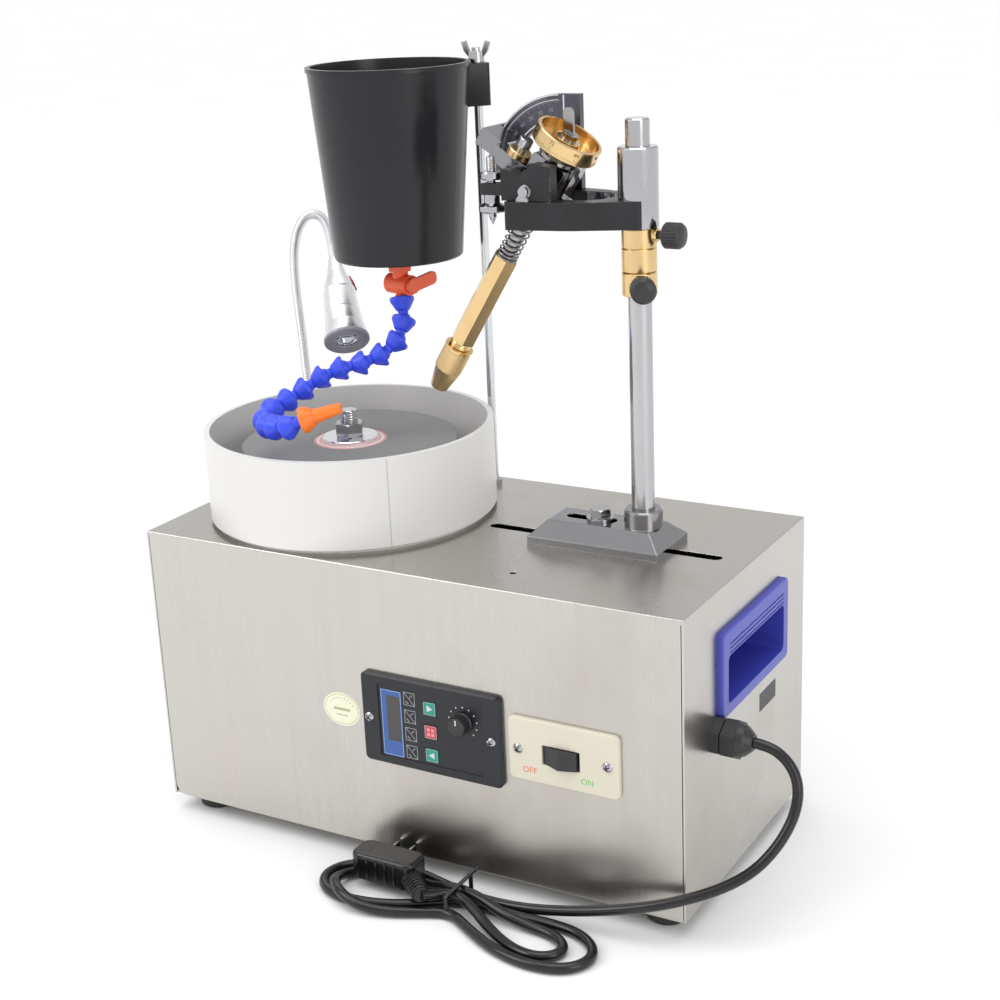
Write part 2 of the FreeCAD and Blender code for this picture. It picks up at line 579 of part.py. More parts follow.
def lamp_shell():
    base, way = lamp_place()
    profile = [(0, 0), (4.6, 0), (5.2, 4), (7.0, 12), (10.0, 21), (11.7, 28), (11.2, 28.4), (11.2, 29.2),
               (11.9, 29.6), (13.0, 46), (12.5, 46.4), (12.5, 47.2), (13.2, 47.6), (14.4, 58), (15.8, 65),
               (16.3, LAMP_L - 2), (13.5, LAMP_L - 2), (13.5, 62), (0, 62)]
    shell = turned(profile, base, way)
    return [shell.cut(key_pocket(base, way, 0.3, KEY_TRAVEL + 2 * GAP))]


def key_pocket(base, way, grow, deeper=0.0):
    """The oval space of the lamp's button, reaching in from the shell's side."""
    side = lamp_side()
    oval = turned([(0, -deeper), (3.6 + grow, -deeper), (3.6 + grow, 12), (0, 12)])
    stretch = FreeCAD.Matrix()
    stretch.scale(V(1, 1.75, 1))
    oval = oval.transformGeometry(stretch)
    frame = FreeCAD.Rotation(side.cross(way), way, side, "ZXY")
    placed = oval.copy()
    placed.Placement = FreeCAD.Placement(base + way * 22 + side * 6.4, frame)
    return placed


def lamp_button():
    base, way = lamp_place()
    limit = turned([(0, 4), (6.4, 4), (8.4, 13), (11.6, 22), (12.7, 28), (12.7, 40), (0, 40)], base, way)
    return [key_pocket(base, way, 0.0).common(limit)]


def lamp_bezel():
    base, way = lamp_place()
    return [turned([(8.0, LAMP_L - 6), (13.5, LAMP_L - 6), (13.5, LAMP_L - 2), (16.3, LAMP_L - 2),
                    (16.3, LAMP_L - 0.5), (15.8, LAMP_L), (8.6, LAMP_L)], base, way)]


def mast_base():
    """Bevelled foot on the case top with a slot for its bolt and a boss for the mast."""
    skirt = box(BASE_X0, BASE_X1, BASE_Y0, BASE_Y1, TOP, TOP + BASE_SKIRT)
    rings = []
    for inset, z in ((0.0, TOP + BASE_SKIRT), (10.5, TOP + BASE_H)):
        x0, x1, y0, y1 = BASE_X0 + inset, BASE_X1 - inset, BASE_Y0 + inset, BASE_Y1 - inset
        corners = [V(x0, y0, z), V(x1, y0, z), V(x1, y1, z), V(x0, y1, z)]
        rings.append(Part.makePolygon(corners + corners[:1]))
    bevel = Part.makeLoft(rings, True, True)
    boss = turned([(0, 0), (BOSS_R, 0), (BOSS_R, BOSS_H - 1), (BOSS_R - 1, BOSS_H), (0, BOSS_H)],
                  MAST + Z * (TOP + BASE_H))
    body = joined(skirt, bevel, boss)
    slot = box(BOLT_X - 24, BOLT_X + 12, MAST.y - 4.5, MAST.y + 4.5, TOP - 1, TOP + BASE_H + 1)
    hole = rod(MAST_R, 60, MAST + Z * (TOP + 4))
    return [body.cut(rounded(slot, 4.4, Z)).cut(hole)]


def mast_post():
    low, length = TOP + 4, MAST_TOP - TOP - 4
    return [turned([(0, 0), (MAST_R, 0), (MAST_R, length - 1), (MAST_R - 1, length), (0, length)],
                   MAST + Z * low)]


def base_bolt():
    """Clamp bolt through the base and the case slot, with its washer and the plate below."""
    top = TOP + BASE_H
    seat = V(BOLT_X, MAST.y, 0)
    shank = rod(4, top - TOP + 14, seat + Z * (TOP - 14))
    head = chamfered_nut(13, 6, 0, seat + Z * (top + 2))
    washer = rod(9, 2, seat + Z * top)
    under = TOP - SHEET - GAP
    plate = box(BOLT_X - 14, BOLT_X + 14, MAST.y - 10, MAST.y + 10, under - 4, under)
    return [joined(shank, head, washer, plate)]


def ring_on_mast(z0, z1, groove=None):
    r, c = COLLAR_R, 0.6
    profile = [(MAST_R + FIT, z0), (r - c, z0), (r, z0 + c)]
    if groove:
        profile += [(r, groove), (r - c, groove + c), (r, groove + 2 * c)]
    profile += [(r, z1 - c), (r - c, z1), (MAST_R + FIT, z1)]
    return turned(profile, MAST)


def thumb_knob(centre, way, start):
    """Fluted knob on a threaded stem; start is how far the stem's end is from the mast's axis."""
    place = centre + way * start
    stem = rod(2.6, 5, place, way)
    grip = turned([(0, 4), (KNOB_R - 1, 4), (KNOB_R, 5), (KNOB_R, 14), (KNOB_R - 1.5, 16),
                   (KNOB_R - 5, 17), (0, 17)], place, way)
    flutes = []
    reach = KNOB_R + 0.1
    for i in range(24):
        a = math.radians(i * 15)
        flute = rod(0.55, 10, V(reach * math.cos(a), reach * math.sin(a), 4))
        flutes.append(aim(flute, place, way))
    return [joined(stem, grip.cut(Part.makeCompound(flutes)))]


LIFT_KNOB_AT = MAST + Z * 414.5
STOP_KNOB_AT = MAST + Z * 384.5
STOP_KNOB_WAY = heading(-60)
KNOB_START = COLLAR_R + 2 + GAP


def stop_collar():
    lug = rod(4, 3, STOP_KNOB_AT + STOP_KNOB_WAY * (COLLAR_R - 1), STOP_KNOB_WAY)
    return [joined(ring_on_mast(COLLAR_Z0, COLLAR_Z1 - GAP), lug.cut(rod(MAST_R + 2, 60, MAST + Z * 360)))]


def lift_sleeve():
    lug = rod(4.2, 3, LIFT_KNOB_AT + X * (COLLAR_R - 1), X).cut(box(100, 200, -50, 50, LIFT_Z1 - GAP, 500))
    return [joined(ring_on_mast(COLLAR_Z1, LIFT_Z1 - GAP, 406.0),
                   lug.cut(rod(MAST_R + 2, 60, MAST + Z * 380)))]


def arm():
    """Forked arm: two prongs beside the stone holder, a round well, and a seat for the sleeve."""
    outline = [V(x, y, ARM_Z0) for x, y in ARM_EDGE]
    body = Part.Face(Part.makePolygon(outline + outline[:1])).extrude(Z * (ARM_Z1 - ARM_Z0))
    body = rounded(body, 2.5, Z)
    fork = box(40, 88, FORK_Y0, FORK_Y1, ARM_Z0 - 1, ARM_Z1 + 1)
    well = rod(17.5, 30, V(92, 5, ARM_Z0 - 1))
    seat = rod(SLEEVE_R, 30, MAST + Z * (ARM_Z0 - 1))
    return [body.cut(Part.makeCompound([joined(fork, well), seat]))]


def arm_sleeve():
    r = SLEEVE_R
    return [turned([(MAST_R + FIT, ARM_Z0), (r, ARM_Z0), (r, SLEEVE_TOP - 1), (r - 1, SLEEVE_TOP),
                    (MAST_R + FIT, SLEEVE_TOP)], MAST)]


def quadrant():
    """Quarter-circle angle scale on the arm's rear prong, centred on the tilt pivot."""
    def sector(radius):
        disc = rod(radius, ARC_T, V(PIVOT.x, ARC_Y, PIVOT.z), Y)
        return disc.common(box(PIVOT.x - 60, PIVOT.x + 2, ARC_Y - 1, ARC_Y + 9, PIVOT.z - 2, PIVOT.z + 60))
    ring = sector(ARC_R).cut(rod(ARC_R - ARC_WIDTH, 30, V(PIVOT.x, ARC_Y - 5, PIVOT.z), Y))
    bar = box(PIVOT.x, PIVOT.x + 13, ARC_Y, ARC_Y + ARC_T, ARM_Z1, PIVOT.z + ARC_R)
    hub = rod(10, ARC_T, V(PIVOT.x, ARC_Y, PIVOT.z), Y)
    foot = box(PIVOT.x - 12, PIVOT.x + 13, ARC_Y, ARC_Y + ARC_T, ARM_Z1, PIVOT.z)
    plate = joined(ring, bar, hub, foot).cut(box(0, 150, -50, 60, ARM_Z0, ARM_Z1))
    return [plate.cut(rod(4, 20, V(PIVOT.x, ARC_Y - 5, PIVOT.z), Y))]


def pivot_bracket():
    """Cheek on the arm's front prong that holds the front pivot pin."""
    outline = [(48, 0), (82, 0), (82, 21), (70, 23), (60, 14), (54, 19), (48, 19)]
    ring = [V(x, -25, ARM_Z1 + z) for x, z in outline]
    cheek = Part.Face(Part.makePolygon(ring + ring[:1])).extrude(Y * 9)
    tab = box(34, 49, -25, -16, ARM_Z1 + 3, ARM_Z1 + 10)
    boss = rod(7.5, 9, V(PIVOT.x, -25, PIVOT.z), Y)
    body = joined(cheek, tab, boss).cut(box(0, 150, -60, 60, ARM_Z0, ARM_Z1))
    body = body.cut(rod(4, 40, V(PIVOT.x, -40, PIVOT.z), Y))
    return [body.cut(rod(2.5, 40, V(39, -20.5, ARM_Z1 - 10)))]


def bracket_hardware():
    """Two pivot pins and the limit screw with its thumb nuts."""
    front = joined(rod(4, 18, V(PIVOT.x, -25, PIVOT.z), Y), rod(3.2, 3, V(PIVOT.x, -28, PIVOT.z), Y))
    rear = rod(4, 15, V(PIVOT.x, 18, PIVOT.z), Y)
    foot = V(39, -20.5, ARM_Z1)
    screw = turned([(0, -16), (2.5, -11), (2.5, 22), (0, 22)], foot)
    upper = turned([(2.5, 12), (6, 12), (6.6, 13), (6.6, 16), (6, 17), (2.5, 17)], foot)
    lower = turned([(2.5, -8), (7.5, -8), (8.4, -7), (8.4, -4), (5, -2), (5, 3), (2.5, 3)], foot)
    return [front, rear, joined(screw, upper), lower]


def carrier():
    """Tilting block that holds the quill, with an arm to the angle scale."""
    block = rounded(box(-12, 12, -11, 20, -9, 19), 1.5, Y)
    reach = box(-40, -11, -5, 8, -5, 5)
    clamp = box(-56, -38, 4, 34, -6, 5)
    scale_slot = box(-54.5, -36, ARC_Y - 0.5, ARC_Y + ARC_T + 0.5, -12, 12)
    cheek = box(11, 13, -5, 5, -6, 18)
    body = joined(block, reach, clamp, cheek).cut(scale_slot)
    body = body.cut(rod(QUILL_R + FIT, 60, V(0, 0, -30)))
    body = body.cut(rod(4 + FIT, 6, V(0, -12, 0), Y)).cut(rod(4 + FIT, 6, V(0, 15.5, 0), Y))
    return [head_place(solid) for solid in body.Solids]


def pawl_lever():
    """Spring pawl beside the quill; its nose points at the wheel's rim."""
    lever = rounded(box(13 + GAP, 15 + GAP, -4, 4, 0, 25), 0.9, Y)
    nose = box(9, 15, -2, 2, 23, 25)
    pad = box(14 + GAP, 20, -4, 4, -1, 2)
    return [head_place(joined(lever, nose, pad))]


def quill_shaft():
    """Steel quill with its index collar, top nut and the wheel's thumb blade."""
    shaft = rod(QUILL_R, QUILL_TOP + 69, V(0, 0, -69))
    collar = turned([(0, 20), (13, 20), (13, 22.2), (8.5, 22.2), (8.5, 25.8), (13, 25.8), (13, 27),
                     (0, 27)])
    nut = hexagon(9, 4, V(0, 0, 34))
    blade = rounded(box(-3.5, 3.5, -0.8, 0.8, 0, 18), 3, Y)
    blade.rotate(V(0, 0, 0), Y, -TILT)
    blade.translate(V(0, 0, QUILL_TOP - 3))
    return [head_place(joined(shaft, collar, nut, blade))]


def index_wheel():
    r, low, high = WHEEL_R, WHEEL_Z0 - 0.5, WHEEL_Z1
    profile = [(QUILL_R, low), (r - 0.6, low), (r, low + 0.6), (r, high - 0.5), (r - 0.5, high),
               (r - 2.2, high), (r - 2.6, low + 2.6), (9, low + 2.6), (8, 34), (QUILL_R, 34)]
    return [head_place(turned(profile))]


def quill_spring():
    return [head_place(turned([(QUILL_R + 0.6, -53.8), (7.6, -53.8), (7.6, -9.6), (QUILL_R + 0.6, -9.6)]))]


def quill_body():
    """Hexagonal brass body with a threaded end for the collet nut."""
    body = hexagon(BODY_AF, BODY_TOP - BODY_END, V(0, 0, BODY_END))
    neck = rod(6.6, 8.5, V(0, 0, BODY_END - 8.5))
    thread = rod(7.2, 4, V(0, 0, BODY_END - 12))
    bore = rod(QUILL_R, 15, V(0, 0, -69))
    return [head_place(joined(body, neck, thread).cut(bore))]


def collet_nut():
    """Knurled collet nut whose bore takes the stone's dop stick."""
    top, tip = BODY_END - 5, COLLET_TIP
    inner = tip + COLLET_BORE_L
    profile = [(6.6 + GAP, top), (9.7, top), (9.7, top - 2), (9.2, top - 2.4), (9.2, top - 18),
               (6.2, tip + 0.6), (5.6, tip), (COLLET_BORE_R, tip), (COLLET_BORE_R, inner),
               (7.2 + GAP, inner), (7.2 + GAP, top - 1.5), (6.6 + GAP, top - 1.5)]
    return [head_place(turned(profile))]


def cord_tie():
    """Thin tie round the middle of the hank, with its twisted end."""
    x0, x1 = TIE_X - TIE_W / 2, TIE_X + TIE_W / 2
    _, _, y0, y1, height = HANK_NECK
    band = rounded(box(x0, x1, y0 - TIE_T, y1 + TIE_T, 0, height + TIE_T), TIE_T, X)
    end = rod(TIE_T, 9, V(TIE_X, y1 - 2, height + TIE_T / 2), V(0.5, 0.5, 0.5))
    return [joined(band.cut(box(x0 - 1, x1 + 1, y0, y1, -1, height)), end)]


def plug():
    """Moulded angled plug lying in the hank, its blades towards the case, with its ribbed sleeve."""
    low = HANK_LEFT[-1]
    body = rounded(box(-24, 24, -136, -114, low, low + 18), 7, Z)
    body = body.makeFillet(3, [e for e in body.Edges if e.BoundBox.ZMin > low + 18 - 1e-6])
    sleeve = turned([(0, 0), (6.5, 0), (5, 26), (0, 26)], V(18, -129, low + 7), heading(-40))
    blades = [box(x, x + 1.5, -115, -101.5, low + 6, low + 12.3) for x in (-8, 4.7)]
    return [joined(body, sleeve, *blades)]


def power_lead():
    return [tube(LEAD, CORD_R, "power_lead")]


NODES = {
    "case_cover": case_cover, "base_plate": base_plate, "feet": feet, "fasteners": fasteners,
    "splash_bowl": splash_bowl, "motor_housing": motor_housing, "spindle_bearings": spindle_bearings,
    "control_panel": control_panel, "control_board": control_board, "switch_plate": switch_plate,
    "switch_body": switch_body, "handle_cup": handle_cup, "window_insert": window_insert,
    "stand_rod": stand_rod, "cable_gland": cable_gland, "power_lead": power_lead, "cord_hank": cord_hank,
    "cord_tie": cord_tie, "plug": plug,
    "rotor_shaft": rotor_shaft, "lap_flanges": lap_flanges, "lap_disc": lap_disc, "spindle_nut": spindle_nut,
    "speed_knob": speed_knob, "rocker": rocker,
    "key_up": lambda: key(KEY_Z[0]), "key_stop": lambda: key(KEY_Z[1]), "key_down": lambda: key(KEY_Z[2]),
    "water_bucket": water_bucket, "bucket_clip": bucket_clip, "tap_body": tap_body,
    "hose_upper": lambda: hose_stretch(0), "tap_lever": tap_lever, "hose_middle": lambda: hose_stretch(1),
    "hose_end": lambda: hose_stretch(2), "nozzle": nozzle, "wing_nut": wing_nut,
    "gooseneck": gooseneck, "lamp_shell": lamp_shell, "lamp_bezel": lamp_bezel, "lamp_button": lamp_button,
    "mast_base": mast_base, "mast_post": mast_post, "base_bolt": base_bolt,
    "stop_collar": stop_collar,
    "stop_knob": lambda: thumb_knob(STOP_KNOB_AT, STOP_KNOB_WAY, KNOB_START),
    "lift_sleeve": lift_sleeve,
    "lift_knob": lambda: thumb_knob(LIFT_KNOB_AT, X, KNOB_START),
    "arm": arm, "arm_sleeve": arm_sleeve, "quadrant": quadrant, "pivot_bracket": pivot_bracket,
    "bracket_hardware": bracket_hardware, "carrier": carrier, "pawl_lever": pawl_lever,
    "index_wheel": index_wheel, "quill_shaft": quill_shaft, "quill_spring": quill_spring,
    "quill_body": quill_body, "collet_nut": collet_nut,
}

os.makedirs("parts", exist_ok=True)
for name, make in NODES.items():
    solids = make()
    shape = solids[0] if len(solids) == 1 else Part.makeCompound(solids)
    shape.translate(-MIDDLE)
    if not shape.isValid():
        print("NOT VALID", name)
    shape.exportStep("parts/" + name + ".step")
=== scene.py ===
"""Bench faceting machine: finishes, small visible pieces, light and camera around the CAD frame."""
import json
import math

import bmesh
import bpy
from mathutils import Matrix, Vector


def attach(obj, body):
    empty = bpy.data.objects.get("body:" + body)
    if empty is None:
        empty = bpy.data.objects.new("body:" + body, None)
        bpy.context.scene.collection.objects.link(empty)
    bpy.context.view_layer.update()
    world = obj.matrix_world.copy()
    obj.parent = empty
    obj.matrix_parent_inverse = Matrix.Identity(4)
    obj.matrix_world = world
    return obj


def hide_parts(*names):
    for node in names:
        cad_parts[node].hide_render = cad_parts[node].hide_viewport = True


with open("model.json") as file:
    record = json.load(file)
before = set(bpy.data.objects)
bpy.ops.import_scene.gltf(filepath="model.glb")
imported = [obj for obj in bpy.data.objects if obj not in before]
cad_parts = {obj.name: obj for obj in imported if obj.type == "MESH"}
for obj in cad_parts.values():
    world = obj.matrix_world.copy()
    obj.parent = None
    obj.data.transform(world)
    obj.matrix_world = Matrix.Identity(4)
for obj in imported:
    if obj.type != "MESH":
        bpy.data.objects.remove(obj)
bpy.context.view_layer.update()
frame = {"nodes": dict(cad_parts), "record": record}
NODES = frame["nodes"]
MM = 0.001
MIDDLE = Vector((2.1, -6.5, 0.0))       # the frame's origin, given from the case's centre
LAP_X = -95
X, Y, Z = Vector((1, 0, 0)), Vector((0, 1, 0)), Vector((0, 0, 1))


def at(x, y, z):
    """A point in the frame, from its place in mm about the case's centre at bench level."""
    return (Vector((x, y, z)) - MIDDLE) * MM


def heading(degrees):
    a = math.radians(degrees)
    return Vector((math.cos(a), math.sin(a), 0))


def polar(r, a):
    return r * math.cos(a), r * math.sin(a)


# ---------------------------------------------------------------- camera
CAMERA_AT = at(577.511, -947.496, 596.856)
CAMERA_RIGHT = Vector((0.8692, 0.4925, -0.0417))
CAMERA_UP = Vector((-0.1213, 0.2942, 0.9479))
LENS, SENSOR = 62.38, 36.0


def make_camera():
    data = bpy.data.cameras.new("camera")
    data.lens, data.sensor_width = LENS, SENSOR
    data.clip_start, data.clip_end = 0.01, 30
    camera = bpy.data.objects.new("camera", data)
    bpy.context.scene.collection.objects.link(camera)
    right = CAMERA_RIGHT.normalized()
    back = right.cross(CAMERA_UP).normalized()
    up = back.cross(right)
    camera.matrix_world = Matrix.Translation(CAMERA_AT) @ Matrix((right, up, back)).transposed().to_4x4()
    bpy.context.scene.camera = camera


make_camera()


# ---------------------------------------------------------------- materials
class Nodes:
    """A few words for building one material's node tree."""

    def __init__(self, name):
        self.material = bpy.data.materials.new(name)
        self.material.use_nodes = True
        self.tree = self.material.node_tree
        self.tree.nodes.clear()
        self.out = self.tree.nodes.new("ShaderNodeOutputMaterial")
        self.shader = self.tree.nodes.new("ShaderNodeBsdfPrincipled")
        self.link(self.shader.outputs[0], self.out.inputs[0])
        self.coords = self.tree.nodes.new("ShaderNodeTexCoord").outputs["Object"]

    def link(self, a, b):
        self.tree.links.new(a, b)

    def new(self, kind, **values):
        node = self.tree.nodes.new(kind)
        for key, value in values.items():
            if key in node.inputs.keys():
                node.inputs[key].default_value = value
            else:
                setattr(node, key, value)
        return node

    def stretched(self, scale):
        node = self.new("ShaderNodeMapping")
        node.inputs["Scale"].default_value = scale
        self.link(self.coords, node.inputs["Vector"])
        return node.outputs[0]

    def noise(self, scale, stretch=(1, 1, 1), detail=3.0, rough=0.5):
        node = self.new("ShaderNodeTexNoise", Scale=scale, Detail=detail, Roughness=rough)
        self.link(self.stretched(stretch), node.inputs["Vector"])
        return node.outputs["Fac"]

    def voronoi(self, scale):
        node = self.new("ShaderNodeTexVoronoi", Scale=scale)
        self.link(self.coords, node.inputs["Vector"])
        return node.outputs["Distance"]

    def ramp(self, value, low, high, out_low=0.0, out_high=1.0):
        node = self.new("ShaderNodeMapRange")
        node.inputs["From Min"].default_value = low
        node.inputs["From Max"].default_value = high
        node.inputs["To Min"].default_value = out_low
        node.inputs["To Max"].default_value = out_high
        self.link(value, node.inputs["Value"])
        return node.outputs[0]

    def math(self, kind, a, b=0.0):
        node = self.new("ShaderNodeMath", operation=kind)
        for socket, value in zip(node.inputs, (a, b)):
            if isinstance(value, (int, float)):
                socket.default_value = value
            else:
                self.link(value, socket)
        return node.outputs[0]

    def mix(self, fac, a, b):
        node = self.new("ShaderNodeMix", data_type="RGBA")
        self.link(fac, node.inputs[0])
        for socket, value in ((node.inputs[6], a), (node.inputs[7], b)):
            if isinstance(value, (tuple, list)):
                socket.default_value = (*value[:3], 1)
            else:
                self.link(value, socket)
        return node.outputs[2]

    def bevelled(self, radius):
        node = self.new("ShaderNodeBevel", samples=4)
        node.inputs["Radius"].default_value = radius
        return node.outputs[0]

    def edge(self, radius):
        """1 at convex and concave edges and 0 on flats."""
        geometry = self.new("ShaderNodeNewGeometry").outputs["Normal"]
        node = self.new("ShaderNodeVectorMath", operation="DOT_PRODUCT")
        self.link(self.bevelled(radius), node.inputs[0])
        self.link(geometry, node.inputs[1])
        flat, sharp = 0.98, 0.7
        return self.ramp(node.outputs["Value"], flat, sharp)

    def bump(self, height, distance, strength=1.0, normal=None):
        node = self.new("ShaderNodeBump", Distance=distance, Strength=strength)
        self.link(height, node.inputs["Height"])
        if normal is not None:
            self.link(normal, node.inputs["Normal"])
        return node.outputs[0]

    def set(self, **values):
        names = {"base": "Base Color", "metallic": "Metallic", "rough": "Roughness", "normal": "Normal",
                 "coat": "Coat Weight", "ior": "IOR", "specular": "Specular IOR Level",
                 "aniso": "Anisotropic", "subsurface": "Subsurface Weight",
                 "transmission": "Transmission Weight"}
        for key, value in values.items():
            socket = self.shader.inputs[names[key]]
            if hasattr(value, "is_output"):
                self.link(value, socket)
            elif isinstance(value, (tuple, list)):
                socket.default_value = (*value[:3], 1)
            else:
                socket.default_value = value
        return self.material


def shade(colour, factor):
    return tuple(min(1.0, c * factor) for c in colour)


def plastic(name, colour, rough=0.35, vary=0.12, grain=0.00004, coat=0.0, worn=0.25, round_off=0.0004,
            subsurface=0.0, specular=0.5):
    """Moulded plastic: soft mottling, a fine moulded grain, faint scuffs and lighter worn edges."""
    n = Nodes(name)
    cloud = n.noise(18.0, detail=4.0)
    base = n.mix(cloud, shade(colour, 1 - vary), shade(colour, 1 + vary))
    edges = n.edge(round_off * 1.6)
    wear = n.math("MULTIPLY", edges, n.ramp(n.noise(160.0), 0.42, 0.7, 0, worn))
    light = tuple(c * 0.55 + 0.3 for c in colour)
    base = n.mix(wear, base, light)
    scuff = n.ramp(n.noise(60.0, detail=5.0, rough=0.7), 0.55, 0.8)
    roughness = n.math("ADD", n.ramp(scuff, 0, 1, rough, rough + 0.14), n.ramp(cloud, 0, 1, -0.03, 0.03))
    normal = n.bump(n.noise(900.0, detail=2.0), grain, 0.8, n.bevelled(round_off))
    return n.set(base=base, rough=roughness, normal=normal, coat=coat, subsurface=subsurface,
                 specular=specular)


def metal(name, colour, rough=0.2, vary=0.06, stretch=(1, 1, 1), grain=0.00002, grain_scale=700.0,
          stain=0.0, stain_colour=(0.3, 0.25, 0.2), round_off=0.0004, rough_vary=0.06):
    """Bare or plated metal: directional grain, smudges that dull it, stains and a painted highlight along
    the edges.
    """
    n = Nodes(name)
    grain_line = n.noise(grain_scale, stretch, 3.0)
    smudge = n.noise(22.0, detail=5.0, rough=0.6)
    base = n.mix(grain_line, shade(colour, 1 - vary), shade(colour, 1 + vary))
    if stain:
        base = n.mix(n.ramp(smudge, 0.5, 0.75, 0, stain), base, stain_colour)
    # painted highlight: edges are lightened towards a brighter copy of the colour
    base = n.mix(n.ramp(n.edge(round_off * 1.5), 0, 1, 0, 0.35), base, shade(colour, 1.25))
    roughness = n.math("ADD", n.ramp(smudge, 0.35, 0.7, rough - rough_vary * 0.5, rough + rough_vary),
                       n.ramp(grain_line, 0, 1, -0.04, 0.04))
    normal = n.bump(grain_line, grain, 0.5, n.bevelled(round_off))
    return n.set(base=base, metallic=1.0, rough=roughness, normal=normal)


def steel_sheet():
    """Brushed stainless: fine upright grain, broad smudges with warm and cool tints, and a painted
    highlight along the edges.
    """
    n = Nodes("brushed_stainless")
    fine = n.noise(1.0, (2600.0, 60.0, 16.0), 4.0, 0.6)
    medium = n.noise(1.0, (150.0, 20.0, 5.0), 3.0, 0.55)
    side_fine = n.noise(1.0, (60.0, 2600.0, 16.0), 4.0, 0.6)
    geometry = n.new("ShaderNodeNewGeometry").outputs["Normal"]
    parts = n.new("ShaderNodeSeparateXYZ")
    n.link(geometry, parts.inputs[0])
    on_side = n.ramp(n.math("ABSOLUTE", parts.outputs["X"]), 0.6, 0.8)
    grain = n.math("ADD", n.math("MULTIPLY", fine, n.math("SUBTRACT", 1.0, on_side)),
                   n.math("MULTIPLY", side_fine, on_side))
    cloud = n.noise(6.0, (1, 1, 0.7), 5.0, 0.6)
    tint = n.noise(9.0, (1, 1, 0.5), 2.0)
    base = n.mix(tint, (0.53, 0.495, 0.455), (0.525, 0.52, 0.49))
    base = n.mix(n.ramp(grain, 0.3, 0.7, 0, 0.16), base, (0.64, 0.625, 0.60))
    base = n.mix(n.ramp(medium, 0.45, 0.75, 0, 0.16), base, (0.43, 0.415, 0.39))
    base = n.mix(n.ramp(cloud, 0.5, 0.72, 0, 0.5), base, (0.41, 0.365, 0.33))
    # painted highlight: edges mixed towards near-white
    base = n.mix(n.ramp(n.edge(0.0012), 0, 1, 0, 0.6), base, (0.88, 0.88, 0.87))
    roughness = n.math("ADD", n.ramp(cloud, 0.3, 0.75, 0.22, 0.34), n.ramp(grain, 0.3, 0.7, -0.02, 0.02))
    normal = n.bump(grain, 0.00002, 0.15, n.bevelled(0.0008))
    return n.set(base=base, metallic=1.0, rough=roughness, normal=normal, aniso=0.35)


def bowl_plastic():
    n = Nodes("bowl_pvc")
    cloud = n.noise(9.0, detail=4.0)
    base = n.mix(cloud, (0.66, 0.65, 0.63), (0.73, 0.72, 0.70))
    splash = n.ramp(n.noise(55.0, detail=6.0, rough=0.7), 0.60, 0.72, 0, 0.22)
    base = n.mix(splash, base, (0.62, 0.61, 0.57))
    rings = n.noise(1.0, (3.0, 3.0, 900.0), 2.0)
    roughness = n.ramp(cloud, 0, 1, 0.30, 0.42)
    normal = n.bump(rings, 0.00003, 0.5, n.bevelled(0.0005))
    return n.set(base=base, rough=roughness, normal=normal, specular=0.45)


def lap_grit():
    """Diamond lap: even mid-grey grit, finely speckled, with faint wear rings."""
    n = Nodes("lap_diamond_grit")
    speck = n.voronoi(2600.0)
    fine = n.noise(1800.0, detail=5.0, rough=0.8)
    base = n.mix(n.ramp(speck, 0.1, 0.5), (0.30, 0.295, 0.29), (0.225, 0.225, 0.225))
    base = n.mix(n.ramp(fine, 0.62, 0.72, 0, 0.5), base, (0.36, 0.36, 0.35))
    cloud = n.noise(16.0, detail=4.0)
    base = n.mix(n.ramp(cloud, 0.4, 0.75, 0, 0.25), base, (0.17, 0.167, 0.16))
    centre = at(LAP_X, 0, 0)
    shift = n.new("ShaderNodeMapping")
    shift.inputs["Location"].default_value = (-centre.x, -centre.y, 0)
    n.link(n.coords, shift.inputs["Vector"])
    rings = n.new("ShaderNodeTexWave", wave_type="RINGS", rings_direction="Z", Scale=90.0, Distortion=2.5,
                  Detail=3.0)
    n.link(shift.outputs[0], rings.inputs["Vector"])
    base = n.mix(n.ramp(rings.outputs["Fac"], 0.3, 1, 0, 0.05), base, (0.32, 0.315, 0.30))
    normal = n.bump(n.math("ADD", fine, n.ramp(speck, 0, 0.4, 1, 0)), 0.00008, 0.6)
    return n.set(base=base, rough=0.6, normal=normal, metallic=0.1)


def turned(name, colour, rough, pitch, tone=None):
    """Turned metal: a fine even tool grain, darker smudges and a painted highlight along the edges."""
    n = Nodes(name)
    wobble = n.noise(1.0, (1.0 / pitch,) * 3)
    smudge = n.noise(35.0, detail=5.0)
    base = n.mix(wobble, shade(colour, 0.93), shade(colour, 1.06))
    base = n.mix(n.ramp(smudge, 0.5, 0.8, 0, 0.25), base, tone or shade(colour, 0.6))
    # painted highlight: edges are lightened towards a brighter copy of the colour
    base = n.mix(n.ramp(n.edge(0.0006), 0, 1, 0, 0.4), base, shade(colour, 1.3))
    roughness = n.math("ADD", n.ramp(smudge, 0.35, 0.75, rough - 0.03, rough + 0.1),
                       n.ramp(wobble, 0, 1, -0.03, 0.03))
    normal = n.bump(wobble, 0.00002, 0.4, n.bevelled(0.0004))
    return n.set(base=base, metallic=1.0, rough=roughness, normal=normal)


def rubber(name, colour=(0.02, 0.02, 0.021), rough=0.55, grain_scale=1400.0, dusty=0.35, grain=0.00005):
    n = Nodes(name)
    dust = n.noise(45.0, detail=6.0, rough=0.7)
    base = n.mix(n.ramp(dust, 0.5, 0.8, 0, dusty), colour, (0.10, 0.10, 0.10))
    normal = n.bump(n.noise(grain_scale, detail=2.0), grain, 0.5, n.bevelled(0.0005))
    return n.set(base=base, rough=n.ramp(dust, 0.3, 0.8, rough - 0.08, rough + 0.12), normal=normal)


